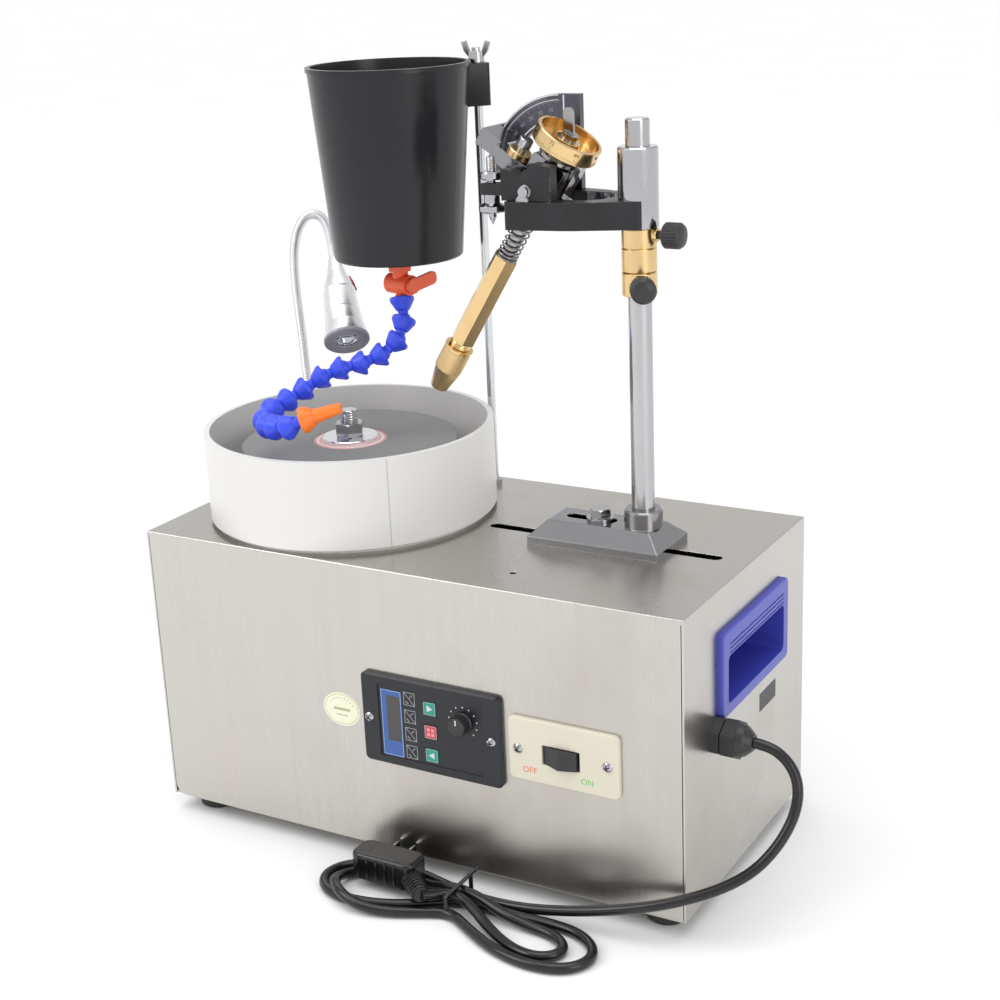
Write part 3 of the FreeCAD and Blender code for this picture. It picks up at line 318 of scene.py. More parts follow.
def paint(name, colour, rough):
    """Semi-gloss paint on a casting: orange peel and a little bare metal at the edges."""
    n = Nodes(name)
    peel = n.noise(420.0, detail=2.0)
    dirt = n.noise(40.0, detail=5.0)
    base = n.mix(n.ramp(dirt, 0.4, 0.8, 0, 0.5), colour, shade(colour, 1.9))
    chips = n.math("MULTIPLY", n.edge(0.0006), n.ramp(n.noise(260.0, detail=4.0), 0.55, 0.62))
    bare_metal = (0.45, 0.44, 0.42)
    base = n.mix(n.ramp(chips, 0, 1, 0, 0.8), base, bare_metal)
    normal = n.bump(peel, 0.00007, 0.5, n.bevelled(0.0007))
    return n.set(base=base, rough=n.ramp(dirt, 0.3, 0.8, rough - 0.05, rough + 0.12), normal=normal,
                 specular=0.32)


MATERIALS = {
    "case_steel": steel_sheet(),
    "foot_rubber": rubber("foot_rubber", rough=0.6),
    "bright_steel": metal("bright_plated_steel", (0.46, 0.46, 0.475), 0.12, stain=0.15),
    "zinc_steel": metal("zinc_plated_rod", (0.66, 0.68, 0.70), 0.22, stretch=(1, 1, 0.08), stain=0.2,
                        stain_colour=(0.45, 0.46, 0.42)),
    "bowl_plastic": bowl_plastic(),
    "motor_alloy": metal("motor_casting", (0.55, 0.56, 0.58), 0.42, grain=0.0001, grain_scale=500.0),
    "panel_black": plastic("panel_charcoal", (0.014, 0.015, 0.019), 0.34, worn=0.1, specular=0.4),
    "board_green": plastic("circuit_board", (0.03, 0.16, 0.07), 0.4),
    "plate_cream": plastic("switch_plate_cream", (0.64, 0.61, 0.49), 0.32, vary=0.05, coat=0.15, worn=0.1,
                           round_off=0.0006),
    "grip_blue": plastic("grip_blue", (0.050, 0.060, 0.40), 0.36, vary=0.1, worn=0.2, coat=0.1),
    "gland_black": plastic("gland_nylon", (0.018, 0.018, 0.02), 0.38, worn=0.12),
    "cord_black": rubber("cord_vinyl", (0.006, 0.006, 0.007), 0.22, 1800.0, dusty=0.06, grain=0.00001),
    "lap_grit": lap_grit(),
    "knob_black": plastic("knob_black", (0.02, 0.02, 0.022), 0.42, worn=0.15),
    "rocker_black": plastic("rocker_black", (0.02, 0.02, 0.023), 0.40, worn=0.15),
    "key_green": plastic("key_green", (0.0, 0.27, 0.20), 0.3, coat=0.2, worn=0.05),
    "key_red": plastic("key_red", (0.52, 0.04, 0.07), 0.3, coat=0.2, worn=0.05),
    "bucket_black": plastic("bucket_black", (0.012, 0.012, 0.015), 0.24, worn=0.12, vary=0.2,
                            grain=0.00002, specular=0.35),
    "tap_orange": plastic("tap_orange", (0.86, 0.115, 0.035), 0.34, subsurface=0.05, worn=0.1),
    "nozzle_orange": plastic("nozzle_orange", (0.93, 0.19, 0.015), 0.34, subsurface=0.05, worn=0.1),
    "hose_blue": plastic("hose_blue", (0.035, 0.075, 0.78), 0.33, subsurface=0.03, worn=0.1),
    "neck_chrome": metal("neck_chrome", (0.72, 0.72, 0.74), 0.18, stain=0.1),
    "lamp_chrome": turned("lamp_shell_chrome", (0.84, 0.84, 0.86), 0.3, 0.002),
    "lamp_grey": paint("lamp_bezel_grey", (0.30, 0.30, 0.31), 0.35),
    "button_red": plastic("button_red", (0.42, 0.015, 0.05), 0.22, coat=0.4, worn=0.05),
    "base_chrome": metal("polished_chrome", (0.47, 0.47, 0.485), 0.08, stain=0.1, rough_vary=0.08),
    "brass": turned("turned_brass", (0.75, 0.54, 0.27), 0.18, 0.0018, tone=(0.40, 0.27, 0.12)),
    "arm_black": paint("arm_black_casting", (0.016, 0.015, 0.017), 0.34),
    "scale_dark": metal("engraved_scale_steel", (0.10, 0.10, 0.12), 0.3, stain=0.8,
                        stain_colour=(0.24, 0.24, 0.27), vary=0.3),
    "quill_steel": metal("blackened_steel", (0.16, 0.16, 0.17), 0.3, stain=0.25),
}
FINISHES = {
    "carrier": metal("carrier_dark_steel", (0.30, 0.30, 0.32), 0.12, stain=0.2, rough_vary=0.08),
    "lap_flanges": metal("plated_washer", (0.80, 0.80, 0.81), 0.16, stain=0.1),
    # the wide round_off also widens this base's painted edge highlight
    "mast_base": metal("bevelled_base_chrome", (0.30, 0.30, 0.31), 0.08, stain=0.1, round_off=0.0012),
    "quill_shaft": metal("ground_quill_steel", (0.38, 0.375, 0.37), 0.16, stain=0.4),
}
for entry in frame["record"]["subparts"]:
    node = NODES[entry["node"]]
    node.data.materials.clear()
    node.data.materials.append(FINISHES.get(entry["node"], MATERIALS[entry["material_slot"]]))


# ---------------------------------------------------------------- shapes
def frame_along(way):
    """A rotation that takes +Z to way and keeps +X near the frame's X, or Y where way is along X."""
    way = way.normalized()
    near = X if abs(way.x) < 0.9 else Y
    side = (near - way * near.dot(way)).normalized()
    return Matrix((side, way.cross(side), way)).transposed()


def add_mesh(name, mesh, body, material, smooth=40.0):
    """A mesh as a piece on a body; smooth is the angle past which an edge stays sharp, or 0 for flat."""
    obj = bpy.data.objects.new(name, mesh)
    bpy.context.scene.collection.objects.link(obj)
    mesh.materials.append(material)
    if smooth:
        mesh.shade_smooth()
        mesh.set_sharp_from_angle(angle=math.radians(smooth))
    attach(obj, body)
    return obj


def mesh_from(name, verts, faces):
    mesh = bpy.data.meshes.new(name)
    mesh.from_pydata([tuple(v) for v in verts], [], faces)
    mesh.validate()
    work = bmesh.new()
    work.from_mesh(mesh)
    bmesh.ops.recalc_face_normals(work, faces=work.faces)
    work.to_mesh(mesh)
    work.free()
    return mesh


def add_piece(name, shape, body, material, smooth=40.0):
    """A piece from (vertices, faces), which every shape function below gives."""
    return add_mesh(name, mesh_from(name, *shape), body, material, smooth)


def lathe(profile, base, way=Z, sides=48, wave=None):
    """Vertices and faces of a body of revolution from (radius, height) in mm about way through base."""
    turn = frame_along(way)
    verts, faces, rings = [], [], []
    for r, h in profile:
        if r < 1e-6:
            rings.append([len(verts)])
            verts.append(base + turn @ Vector((0, 0, h * MM)))
            continue
        ring = []
        for i in range(sides):
            a = 2 * math.pi * i / sides
            radius = (wave(r, h, a) if wave else r) * MM
            ring.append(len(verts))
            verts.append(base + turn @ Vector((radius * math.cos(a), radius * math.sin(a), h * MM)))
        rings.append(ring)
    for low, high in zip(rings, rings[1:]):
        for i in range(sides):
            j = (i + 1) % sides
            if len(low) == 1 and len(high) == 1:
                continue
            if len(low) == 1:
                faces.append((low[0], high[i], high[j]))
            elif len(high) == 1:
                faces.append((low[i], low[j], high[0]))
            else:
                faces.append((low[i], low[j], high[j], high[i]))
    return verts, faces


def merge(*parts):
    verts, faces = [], []
    for v, f in parts:
        start = len(verts)
        verts += v
        faces += [tuple(start + i for i in face) for face in f]
    return verts, faces


def block(centre, size, turn=None, chamfer=0.12):
    """A box with chamfered edges, size in mm, as vertices and faces."""
    work = bmesh.new()
    bmesh.ops.create_cube(work, size=1.0)
    for v in work.verts:
        v.co = Vector([c * s * MM for c, s in zip(v.co, size)])
    if chamfer:
        bmesh.ops.bevel(work, geom=work.edges[:], offset=chamfer * MM, segments=2, profile=0.5,
                        affect="EDGES")
    turn = turn or Matrix.Identity(3)
    work.verts.index_update()
    verts = [centre + turn @ v.co for v in work.verts]
    faces = [tuple(v.index for v in f.verts) for f in work.faces]
    work.free()
    return verts, faces


def prism(outline, low, high, place, turn):
    """A flat outline in mm, drawn out between two heights along the turned Z, with its ends closed."""
    n = len(outline)
    verts = [place + turn @ (Vector((x, y, h)) * MM) for h in (low, high) for x, y in outline]
    faces = [tuple(range(n - 1, -1, -1)), tuple(range(n, 2 * n))]
    faces += [(i, (i + 1) % n, n + (i + 1) % n, n + i) for i in range(n)]
    return verts, faces


def threaded(minor, major, pitch, length, base, way, sides=40):
    """A screw thread's surface, closed at both ends."""
    def wave(_, h, a):
        phase = (h / pitch - a / (2 * math.pi)) % 1.0
        ridge = 1 - abs(2 * phase - 1)
        fade = min(1.0, h / pitch, (length - h) / pitch)
        return minor + (major - minor) * ridge * max(0.0, fade)
    steps_per_turn = 6
    steps = int(length / pitch * steps_per_turn)
    side = [(minor, length * i / steps) for i in range(steps + 1)]
    return lathe([(0.0, 0.0), *side, (0.0, length)], base, way, sides, wave)


def sweep(points, radius_at, sides):
    """A closed tube along points in metres; radius_at gives its radius in metres from the distance run."""
    verts, faces, run = [], [], 0.0
    way = (points[1] - points[0]).normalized()
    side = way.orthogonal().normalized()
    for k, p in enumerate(points):
        if k:
            run += (p - points[k - 1]).length
        ahead = points[min(k + 1, len(points) - 1)] - points[max(k - 1, 0)]
        new_way = ahead.normalized()
        side = (way.rotation_difference(new_way) @ side).normalized()
        way = new_way
        other = way.cross(side)
        r = radius_at(run)
        for i in range(sides):
            a = 2 * math.pi * i / sides
            verts.append(p + side * (r * math.cos(a)) + other * (r * math.sin(a)))
        if k:
            s = (k - 1) * sides
            for i in range(sides):
                j = (i + 1) % sides
                faces.append((s + i, s + j, s + sides + j, s + sides + i))
    faces.append(tuple(range(sides - 1, -1, -1)))
    last = (len(points) - 1) * sides
    faces.append(tuple(range(last, last + sides)))
    return verts, faces


def spline(name, points, bevel=0.0):
    """A curve object of one smooth NURBS spline with these control points."""
    data = bpy.data.curves.new(name, "CURVE")
    data.dimensions = "3D"
    data.resolution_u = 12
    line = data.splines.new("NURBS")
    line.points.add(len(points) - 1)
    for point, place in zip(line.points, points):
        point.co = (*place, 1.0)
    line.order_u = 3
    line.use_endpoint_u = True
    data.bevel_depth = bevel
    data.bevel_resolution = 6
    data.use_fill_caps = True
    obj = bpy.data.objects.new(name, data)
    bpy.context.scene.collection.objects.link(obj)
    return obj


def line_of(points, spacing):
    """Evenly spaced points along the smooth NURBS line of these points."""
    guide = spline("guide", points)
    guide.data.resolution_u = 24
    mesh = bpy.data.meshes.new_from_object(guide)
    raw = [v.co.copy() for v in mesh.vertices]
    bpy.data.objects.remove(guide)
    bpy.data.meshes.remove(mesh)
    runs = [0.0]
    for a, b in zip(raw, raw[1:]):
        runs.append(runs[-1] + (b - a).length)
    count = max(2, int(runs[-1] / spacing))
    out, k = [], 0
    for i in range(count + 1):
        want = runs[-1] * i / count
        while k < len(runs) - 2 and runs[k + 1] < want:
            k += 1
        gap = runs[k + 1] - runs[k]
        out.append(raw[k].lerp(raw[k + 1], (want - runs[k]) / gap if gap else 0.0))
    return out


# ---------------------------------------------------------------- more finishes
def simple(name, colour, rough=0.4, vary=0.1, coat=0.0):
    """Print or film: a flat colour broken by a fine ink mottle and slightly uneven gloss."""
    n = Nodes(name)
    ink = n.noise(120.0, detail=4.0, rough=0.6)
    base = n.mix(ink, shade(colour, 1 - vary), shade(colour, 1 + vary))
    return n.set(base=base, rough=n.ramp(ink, 0.3, 0.7, rough - 0.04, rough + 0.06), coat=coat,
                 normal=n.bump(n.noise(1500.0), 0.00001, 0.4))


WHITE_PRINT = simple("print_white", (0.62, 0.63, 0.64), 0.5)
GREY_PRINT = simple("print_grey", (0.36, 0.37, 0.39), 0.5)
RED_PRINT = simple("print_red", (0.72, 0.13, 0.10), 0.5)
PINK_PRINT = simple("print_pink", (0.75, 0.30, 0.30), 0.5)
GREEN_PRINT = simple("print_green", (0.12, 0.52, 0.13), 0.5)
DISPLAY_BLUE = simple("display_blue", (0.018, 0.085, 0.32), 0.22, coat=0.4)
DISPLAY_LINE = simple("display_outline", (0.20, 0.34, 0.62), 0.3)
DISPLAY_DARK = simple("display_window", (0.028, 0.022, 0.022), 0.12, coat=0.6)
STICKER = simple("sticker_paper", (0.80, 0.80, 0.62), 0.45, 0.05)
STICKER_INK = simple("sticker_ink", (0.42, 0.42, 0.24), 0.5)
LABEL_PAPER = simple("label_paper", (0.78, 0.66, 0.64), 0.6, 0.1)
LABEL_RED = simple("label_red_edge", (0.66, 0.13, 0.15), 0.5, 0.15)
ENGRAVED = simple("engraved_line_fill", (0.72, 0.72, 0.72), 0.45)
SCALE_INK = simple("scale_print", (0.26, 0.26, 0.28), 0.5)
BRASS_INK = simple("stamped_dark", (0.16, 0.10, 0.04), 0.5)
SEAM = simple("pvc_seam", (0.50, 0.49, 0.46), 0.5)
# near-black: painted shade for the inside of the screws' cross recesses
RECESS_SHADE = simple("driver_recess_painted_shade", (0.02, 0.02, 0.02), 0.5)
SPRING_WIRE = metal("spring_wire", (0.30, 0.30, 0.31), 0.22, stain=0.2)
REFLECTOR = metal("lamp_reflector", (0.78, 0.78, 0.80), 0.12, vary=0.03, rough_vary=0.05)
LED = simple("led_phosphor", (0.75, 0.62, 0.18), 0.4)


def clear_lens():
    n = Nodes("lamp_lens")
    haze = n.noise(90.0)
    return n.set(base=(0.92, 0.94, 0.95), rough=n.ramp(haze, 0.3, 0.8, 0.03, 0.12), transmission=1.0,
                 ior=1.49)


# ---------------------------------------------------------------- front of the case
FRONT_TURN = Matrix((X, Z, -Y)).transposed()        # flat drawings face the front: x right, y up
PANEL_FACE, PLATE_FACE, CASE_FACE, KEY_FACE, DIAL_FACE = -103.2, -103.0, -100.0, -103.8, -112.5
KEY_X, DIAL_X, DIAL_Z = 24.8, 49.2, 118.8
SCREW_Z = 109
SCREW_SEATS = ((-22.0, -104), (69.5, -104), (88.5, -103), (150.5, -103))     # each one's x and face
WORD_Z, WORD_SIZE = 95.5, 5.6
STICKER_AT, STICKER_SQUASH = (-46.5, 108), 0.82
PRINT = 0.12


def on_front(name, outlines, face, material, body="case", thick=PRINT, centre=(0, 0)):
    """Thin raised shapes on the front: outlines are lists of (x, z) about centre."""
    parts = [prism(o, 0.0, thick, at(centre[0], face, centre[1]), FRONT_TURN) for o in outlines]
    return add_piece(name, merge(*parts), body, material, smooth=0)


def rect(x0, x1, z0, z1):
    return [(x0, z0), (x1, z0), (x1, z1), (x0, z1)]


def frame_of(x0, x1, z0, z1, t):
    """Four bars round a rectangle."""
    return [rect(x0, x1, z0, z0 + t), rect(x0, x1, z1 - t, z1), rect(x0, x0 + t, z0 + t, z1 - t),
            rect(x1 - t, x1, z0 + t, z1 - t)]


def bar(a, b, width):
    """A thin bar from a to b."""
    along = (Vector(b) - Vector(a)).normalized() * (width / 2)
    across = Vector((-along.y, along.x))
    return [tuple(Vector(a) - across), tuple(Vector(b) - across), tuple(Vector(b) + across),
            tuple(Vector(a) + across)]


def disc(radius, cx=0.0, cz=0.0, sides=20, squash=1.0):
    return [(cx + radius * math.cos(2 * math.pi * i / sides),
             cz + squash * radius * math.sin(2 * math.pi * i / sides)) for i in range(sides)]


KEY_BODIES = {"key_up": "up_key", "key_stop": "stop_key", "key_down": "down_key"}


def control_face():
    """Display, icon boxes, key borders and symbols, and the dial's dots."""
    on_front("display_outline", frame_of(-12.4, 3.0, 84.3, 130.8, 0.6), PANEL_FACE, DISPLAY_LINE)
    on_front("display_film", [rect(-11.8, 2.4, 84.9, 130.2)], PANEL_FACE, DISPLAY_BLUE, thick=0.08)
    on_front("display_window", [rect(-8.2, 1.9, 95.2, 127.0)], PANEL_FACE, DISPLAY_DARK, thick=0.16)
    icons = []
    for z in (89.6, 102.2, 114.8, 127.2):
        icons += frame_of(5.2, 13.6, z - 4.6, z + 4.6, 0.35)
        icons.append(bar((5.5, z + 4.3), (13.3, z - 4.3), 0.35))
        for x, dz in ((11.4, 2.6), (10.2, 1.4), (7.2, -2.2), (8.2, -3.2)):
            icons.append(rect(x - 0.7, x + 0.7, z + dz - 0.16, z + dz + 0.16))
            icons.append(rect(x - 0.16, x + 0.16, z + dz - 0.6, z + dz + 0.6))
    on_front("icon_boxes", icons, PANEL_FACE, GREY_PRINT)
    for name, z, sign in (("key_up", 123.5, 1), ("key_stop", 107.0, 0), ("key_down", 90.5, -1)):
        on_front(name + "_border", frame_of(-4.4, 4.4, -4.4, 4.4, 0.4), KEY_FACE, GREY_PRINT,
                 KEY_BODIES[name], centre=(KEY_X, z))
        if sign:
            mark = [[(-1.9 * sign, 2.3), (-1.9 * sign, -2.3), (2.3 * sign, 0)]]
            if sign < 0:
                mark = [mark[0][::-1]]
        else:
            mark = [rect(x - 1.1, x + 1.1, y - 1.1, y + 1.1) for x in (-1.6, 1.6) for y in (-1.6, 1.6)]
        material = WHITE_PRINT if sign else PINK_PRINT
        on_front(name + "_symbol", mark, KEY_FACE, material, KEY_BODIES[name], centre=(KEY_X, z))
    dots = []
    for i in range(11):
        dx, dz = polar(10.4, math.radians(225 - 27 * i))
        dots.append(disc(0.5, DIAL_X + dx, DIAL_Z + dz, 12))
    on_front("dial_dots", dots, PANEL_FACE, WHITE_PRINT)
    on_front("dial_pointer", [rect(-0.45, 0.45, 1.6, 5.2)], DIAL_FACE, WHITE_PRINT, "speed_dial",
             centre=(DIAL_X, DIAL_Z), thick=0.15)


def lettering(name, words, x, z, size, face, material):
    """Generic wording standing a hair proud of the front."""
    data = bpy.data.curves.new(name, "FONT")
    data.body = words
    data.size = size * MM
    data.extrude = 0.05 * MM
    data.align_x, data.align_y = "CENTER", "CENTER"
    data.space_character = 1.05
    obj = bpy.data.objects.new(name, data)
    bpy.context.scene.collection.objects.link(obj)
    mesh = bpy.data.meshes.new_from_object(obj)
    bpy.data.objects.remove(obj)
    place = at(x, face, z)
    mesh.transform(Matrix.Translation(place) @ FRONT_TURN.to_4x4())
    mesh.materials.clear()
    add_mesh(name, mesh, "case", material, smooth=0)


def cross_screws():
    """Black crosses on the four front screws: painted shade standing in for their cross recesses."""
    parts = []
    for x, face in SCREW_SEATS:
        turn = Matrix.Rotation(math.radians(31 * x), 3, "Y")
        for size in ((4.0, 0.5, 0.75), (0.75, 0.5, 4.0)):
            parts.append(block(at(x, face - 1.66, SCREW_Z), size, turn, 0.1))
        parts.append(block(at(x, face - 1.72, SCREW_Z), (1.5, 0.5, 1.5), turn, 0.1))
    add_piece("front_screw_recess_shade", merge(*parts), "case", RECESS_SHADE, smooth=0)


def sticker():
    sides = 64
    oval = disc(14.5, sides=sides, squash=STICKER_SQUASH)
    on_front("inspection_sticker", [oval], CASE_FACE, STICKER, centre=STICKER_AT, thick=0.1)
    outer, inner = disc(13.2, sides=sides, squash=STICKER_SQUASH), disc(12.9, sides=sides, squash=0.81)
    rings = []
    for i in range(sides):
        j = (i + 1) % sides
        rings.append([outer[i], outer[j], inner[j], inner[i]])
    rings.append(rect(-6.5, 6.5, -0.9, 0.9))
    rings.append(rect(-4.5, 4.5, -4.6, -3.8))
    for i in range(9):
        a = math.radians(150 - 15 * i)
        rings.append(disc(0.55, 10.2 * math.cos(a), 8.2 * math.sin(a), 8))
    on_front("sticker_print", rings, CASE_FACE, STICKER_INK, centre=STICKER_AT, thick=0.14)


# ---------------------------------------------------------------- lap and spindle
def ring(inner, outer, low, high, base, way=Z, sides=96):
    """A flat ring about way through base, between two radii and two heights in mm."""
    return lathe([(inner, low), (outer, low), (outer, high), (inner, high), (inner, low)], base, way, sides)


def lap_pieces():
    low = at(LAP_X, 0, 261.8)
    paper = ring(19.0, 25.4, 0.0, 0.12, low)
    add_piece("lap_label", paper, "spindle", LABEL_PAPER)
    edge = ring(24.0, 25.0, 0.0, 0.16, low)
    inner = ring(20.6, 21.2, 0.0, 0.15, low)
    add_piece("lap_label_rings", merge(edge, inner), "spindle", LABEL_RED)
    thread = threaded(6.02, 6.42, 1.75, 8.4, at(LAP_X, 0, 274.2), Z)
    add_piece("spindle_thread", thread, "spindle", MATERIALS["bright_steel"])


def bowl_seam():
    """The pipe slice's two mould lines, on opposite sides."""
    parts = []
    r, width, height = 100.03, 0.7, 59.0
    for degrees in (-42.0, 138.0):
        way = heading(degrees)
        turn = Matrix((Vector((-way.y, way.x, 0)), way, Z)).transposed()
        parts.append(block(at(LAP_X + r * way.x, r * way.y, 245.2), (width, 0.12, height), turn, 0.03))
    add_piece("bowl_mould_lines", merge(*parts), "case", SEAM, smooth=0)


# ---------------------------------------------------------------- lamp
LAMP_NECK = [(-185, 80, 219.5), (-187, 80, 262), (-189, 80.5, 306), (-192, 81, 342), (-193, 82, 364),
             (-191.5, 83, 380), (-187, 84.4, 392.5), (-179, 86, 400.5), (-168.5, 86, 400.5),
             (-160.5, 83.6, 392), (-155.9, 80.2, 379), (-150.5, 74, 371)]
LAMP_WAY = Vector((0.47, -0.54, -0.70)).normalized()
LAMP_BASE = at(*LAMP_NECK[-1]) + LAMP_WAY * (1.2 * MM)


def gooseneck():
    """Ribbed flexible conduit."""
    step, pitch = 0.00028, 1.7 * MM
    line = line_of([at(*p) for p in LAMP_NECK], step)

    def radius(run):
        return (3.35 + 0.33 * math.sin(2 * math.pi * run / pitch)) * MM
    piece = add_piece("ribbed_gooseneck", sweep(line, radius, 18),
                      "lamp_neck", MATERIALS["neck_chrome"], 60)
    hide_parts("gooseneck")


def lamp_face():
    cup = [(8.1, 69.2), (7.6, 66.0), (5.2, 62.8), (2.6, 62.2), (2.6, 62.05), (5.4, 62.05), (8.3, 65.8),
           (8.4, 69.2), (8.1, 69.2)]
    add_piece("lamp_reflector", lathe(cup, LAMP_BASE, LAMP_WAY, 48), "lamp_head", REFLECTOR)
    chip = block(LAMP_BASE + LAMP_WAY * (62.7 * MM), (2.6, 2.6, 0.9), frame_along(LAMP_WAY))
    add_piece("lamp_led", chip, "lamp_head", LED, smooth=0)
    lens = [(0, 66.6), (4.0, 66.6), (7.5, 67.2), (7.9, 67.8), (7.6, 68.3), (5.0, 69.1), (2.5, 69.5),
            (0, 69.6)]
    add_piece("lamp_lens", lathe(lens, LAMP_BASE, LAMP_WAY, 48), "lamp_head", clear_lens())
    ridge = ring(12.7, 13.4, 70.0, 70.25, LAMP_BASE, LAMP_WAY, 64)
    add_piece("lamp_bezel_ring", ridge, "lamp_head", MATERIALS["lamp_grey"])


# ---------------------------------------------------------------- stone holder
ARM_LOW, ARM_TOP = 419.0, 436.0
PIVOT = at(64.5, 0, 442)
TILT = math.radians(32)
QUILL_UP = Vector((math.sin(TILT), 0, math.cos(TILT)))
QUILL_SIDE = Vector((math.cos(TILT), 0, -math.sin(TILT)))
HEAD_TURN = Matrix((QUILL_SIDE, Y, QUILL_UP)).transposed()


def head(x, y, z):
    """A point given from the tilt pivot, z up along the quill, in millimetres."""
    return PIVOT + HEAD_TURN @ (Vector((x, y, z)) * MM)


def spring():
    """Steel spring between the carrier and the brass body, its end turns closer together."""
    low, high, radius, wire = -53.2, -10.2, 6.55, 0.62
    points, turns, steps_per_turn = [], 11.5, 26
    total = int(turns * steps_per_turn)
    for i in range(total + 1):
        t = i / total
        eased = 0.5 * (t + (3 * t * t - 2 * t * t * t))
        a = 2 * math.pi * turns * t
        points.append(head(*polar(radius, a), low + (high - low) * eased))
    piece = add_piece("quill_spring_coil", sweep(points, lambda run: wire * MM, 10),
                      "quill", SPRING_WIRE, 60)
    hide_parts("quill_spring")
    washer = ring(5.1, 7.3, -54.0, -53.0, PIVOT, QUILL_UP, 40)
    add_piece("spring_washer", washer, "quill", SPRING_WIRE)


def brass_threads():
    grooves = threaded(6.65, 7.35, 1.5, 4.9, head(0, 0, -125.9), QUILL_UP, 48)
    add_piece("quill_body_thread", grooves, "quill", MATERIALS["brass"])
    tooth = 54

    def knurl(r, h, a):
        u, v = tooth * a / 2, h * 2.1
        ridge = max(abs(math.sin(u + v)), abs(math.sin(u - v)))
        return r - 0.22 + 0.34 * ridge
    steps = 46
    profile = [(9.25, -128.4 - 15.6 * i / steps) for i in range(steps + 1)]
    shell = lathe([(8.6, -128.4)] + profile + [(8.6, -144.0), (8.6, -128.4)], PIVOT, QUILL_UP, tooth * 5,
                  lambda r, h, a: knurl(r, h, a) if r > 9 else r)
    add_piece("collet_knurl", shell, "collet", MATERIALS["brass"], 25)


def text_on(words, size):
    """A flat text's vertices and faces in mm, about its own middle."""
    data = bpy.data.curves.new("words", "FONT")
    data.body, data.size = words, size
    data.align_x, data.align_y = "CENTER", "CENTER"
    data.extrude = 0.06
    data.resolution_u = 3
    obj = bpy.data.objects.new("words", data)
    bpy.context.scene.collection.objects.link(obj)
    mesh = bpy.data.meshes.new_from_object(obj)
    verts = [v.co.copy() for v in mesh.vertices]
    faces = [tuple(f.vertices) for f in mesh.polygons]
    bpy.data.objects.remove(obj)
    bpy.data.meshes.remove(mesh)
    return verts, faces


def wheel_marks():
    """96 marks round the brass wheel's lower edge, numbered every eighth of a turn."""
    parts = []
    r, marks = 21.5, 96
    for i in range(marks):
        a = 2 * math.pi * i / marks
        long = 3.4 if i % 12 == 0 else (2.6 if i % 4 == 0 else 1.7)
        out = Vector((math.cos(a), math.sin(a), 0))
        turn = HEAD_TURN @ Matrix((Vector((-out.y, out.x, 0)), Z, out)).transposed()
        parts.append(block(head(r * out.x, r * out.y, 28.3 + long / 2), (0.24, long, 0.16), turn, 0.0))
    for k in range(8):
        a0 = 2 * math.pi * k / 8
        verts, faces = text_on(str(12 * k or marks), 3.4)
        placed = []
        for v in verts:
            a = a0 + v.x / r
            d = r + 0.05 + v.z
            placed.append(head(*polar(d, a), 34.0 + v.y))
        parts.append((placed, faces))
    add_piece("wheel_marks", merge(*parts), "quill", BRASS_INK, smooth=0)


def scale_marks():
    """Engraved arcs, degree lines and numbers on the quarter-circle scale."""
    parts = []
    face = at(64.5, 26.0, 442)
    tick_top, number_r, proud = 49.4, 43.4, 0.1

    def arc(r, width):
        steps, start, end = 60, 92, 180
        for i in range(steps):
            a, b = (math.radians(start + (end - start) * k / steps) for k in (i, i + 1))
            outline = [polar(r - width, a), polar(r - width, b), polar(r, b), polar(r, a)]
            parts.append(prism(outline, 0.0, proud, face, FRONT_TURN))
    for degrees in range(1, 90):
        a = math.radians(90 + degrees)
        long = 3.2 if degrees % 10 == 0 else (2.2 if degrees % 5 == 0 else 1.3)
        tick = bar(polar(tick_top, a), polar(tick_top - long, a), 0.2)
        parts.append(prism(tick, 0.0, proud, face, FRONT_TURN))
    for degrees in range(10, 90, 10):
        a = math.radians(90 + degrees)
        verts, faces = text_on(str(degrees), 3.6)
        spin = Matrix.Rotation(a - math.pi / 2, 3, "Z")
        middle = Vector((*polar(number_r, a), 0))
        parts.append(([face + FRONT_TURN @ ((middle + spin @ v) * MM) for v in verts], faces))
    add_piece("scale_marks", merge(*parts), "swing_arm", SCALE_INK, smooth=0)
    parts.clear()
    arc(52.8, 0.7)
    arc(49.6, 0.4)
    arc(38.4, 0.9)
    parts.append(prism(rect(1.2, 2.2, -2.0, 52.4), 0.0, 0.12, face, FRONT_TURN))
    add_piece("scale_rims", merge(*parts), "swing_arm", ENGRAVED, smooth=0)


def bracket_details():
    """Threads on the limit screw, and the bracket's button screw."""
    upper = threaded(2.52, 2.85, 1.0, 9.0, at(39, -20.5, 448.9 + 4), Z, 28)
    mid = threaded(2.52, 2.85, 1.0, 2.0, at(39, -20.5, 446.0), Z, 28)
    add_piece("limit_screw_thread", merge(upper, mid), "swing_arm",
              MATERIALS["bright_steel"])
    dome = lathe([(0, 0.0), (4.6, 0.0), (4.6, 1.0), (3.8, 2.0), (0, 2.4)], at(63.0, -25.0, ARM_TOP), -Y, 32)
    add_piece("bracket_button_screw", dome, "swing_arm", MATERIALS["bright_steel"])


def well_liner():
    """Polished lining of the arm's round well, open to the left."""
    steps, start, end = 56, -118, 118
    inner, outer = 16.9, 17.4
    outlines = []
    for i in range(steps):
        a, b = (math.radians(start + (end - start) * k / steps) for k in (i, i + 1))
        outlines.append([polar(inner, a), polar(outer, a), polar(outer, b), polar(inner, b)])
    parts = [prism(o, 0.4, 16.8, at(92, 5, ARM_LOW), Matrix.Identity(3)) for o in outlines]
    add_piece("arm_well_liner", merge(*parts), "swing_arm", MATERIALS["base_chrome"], 30)


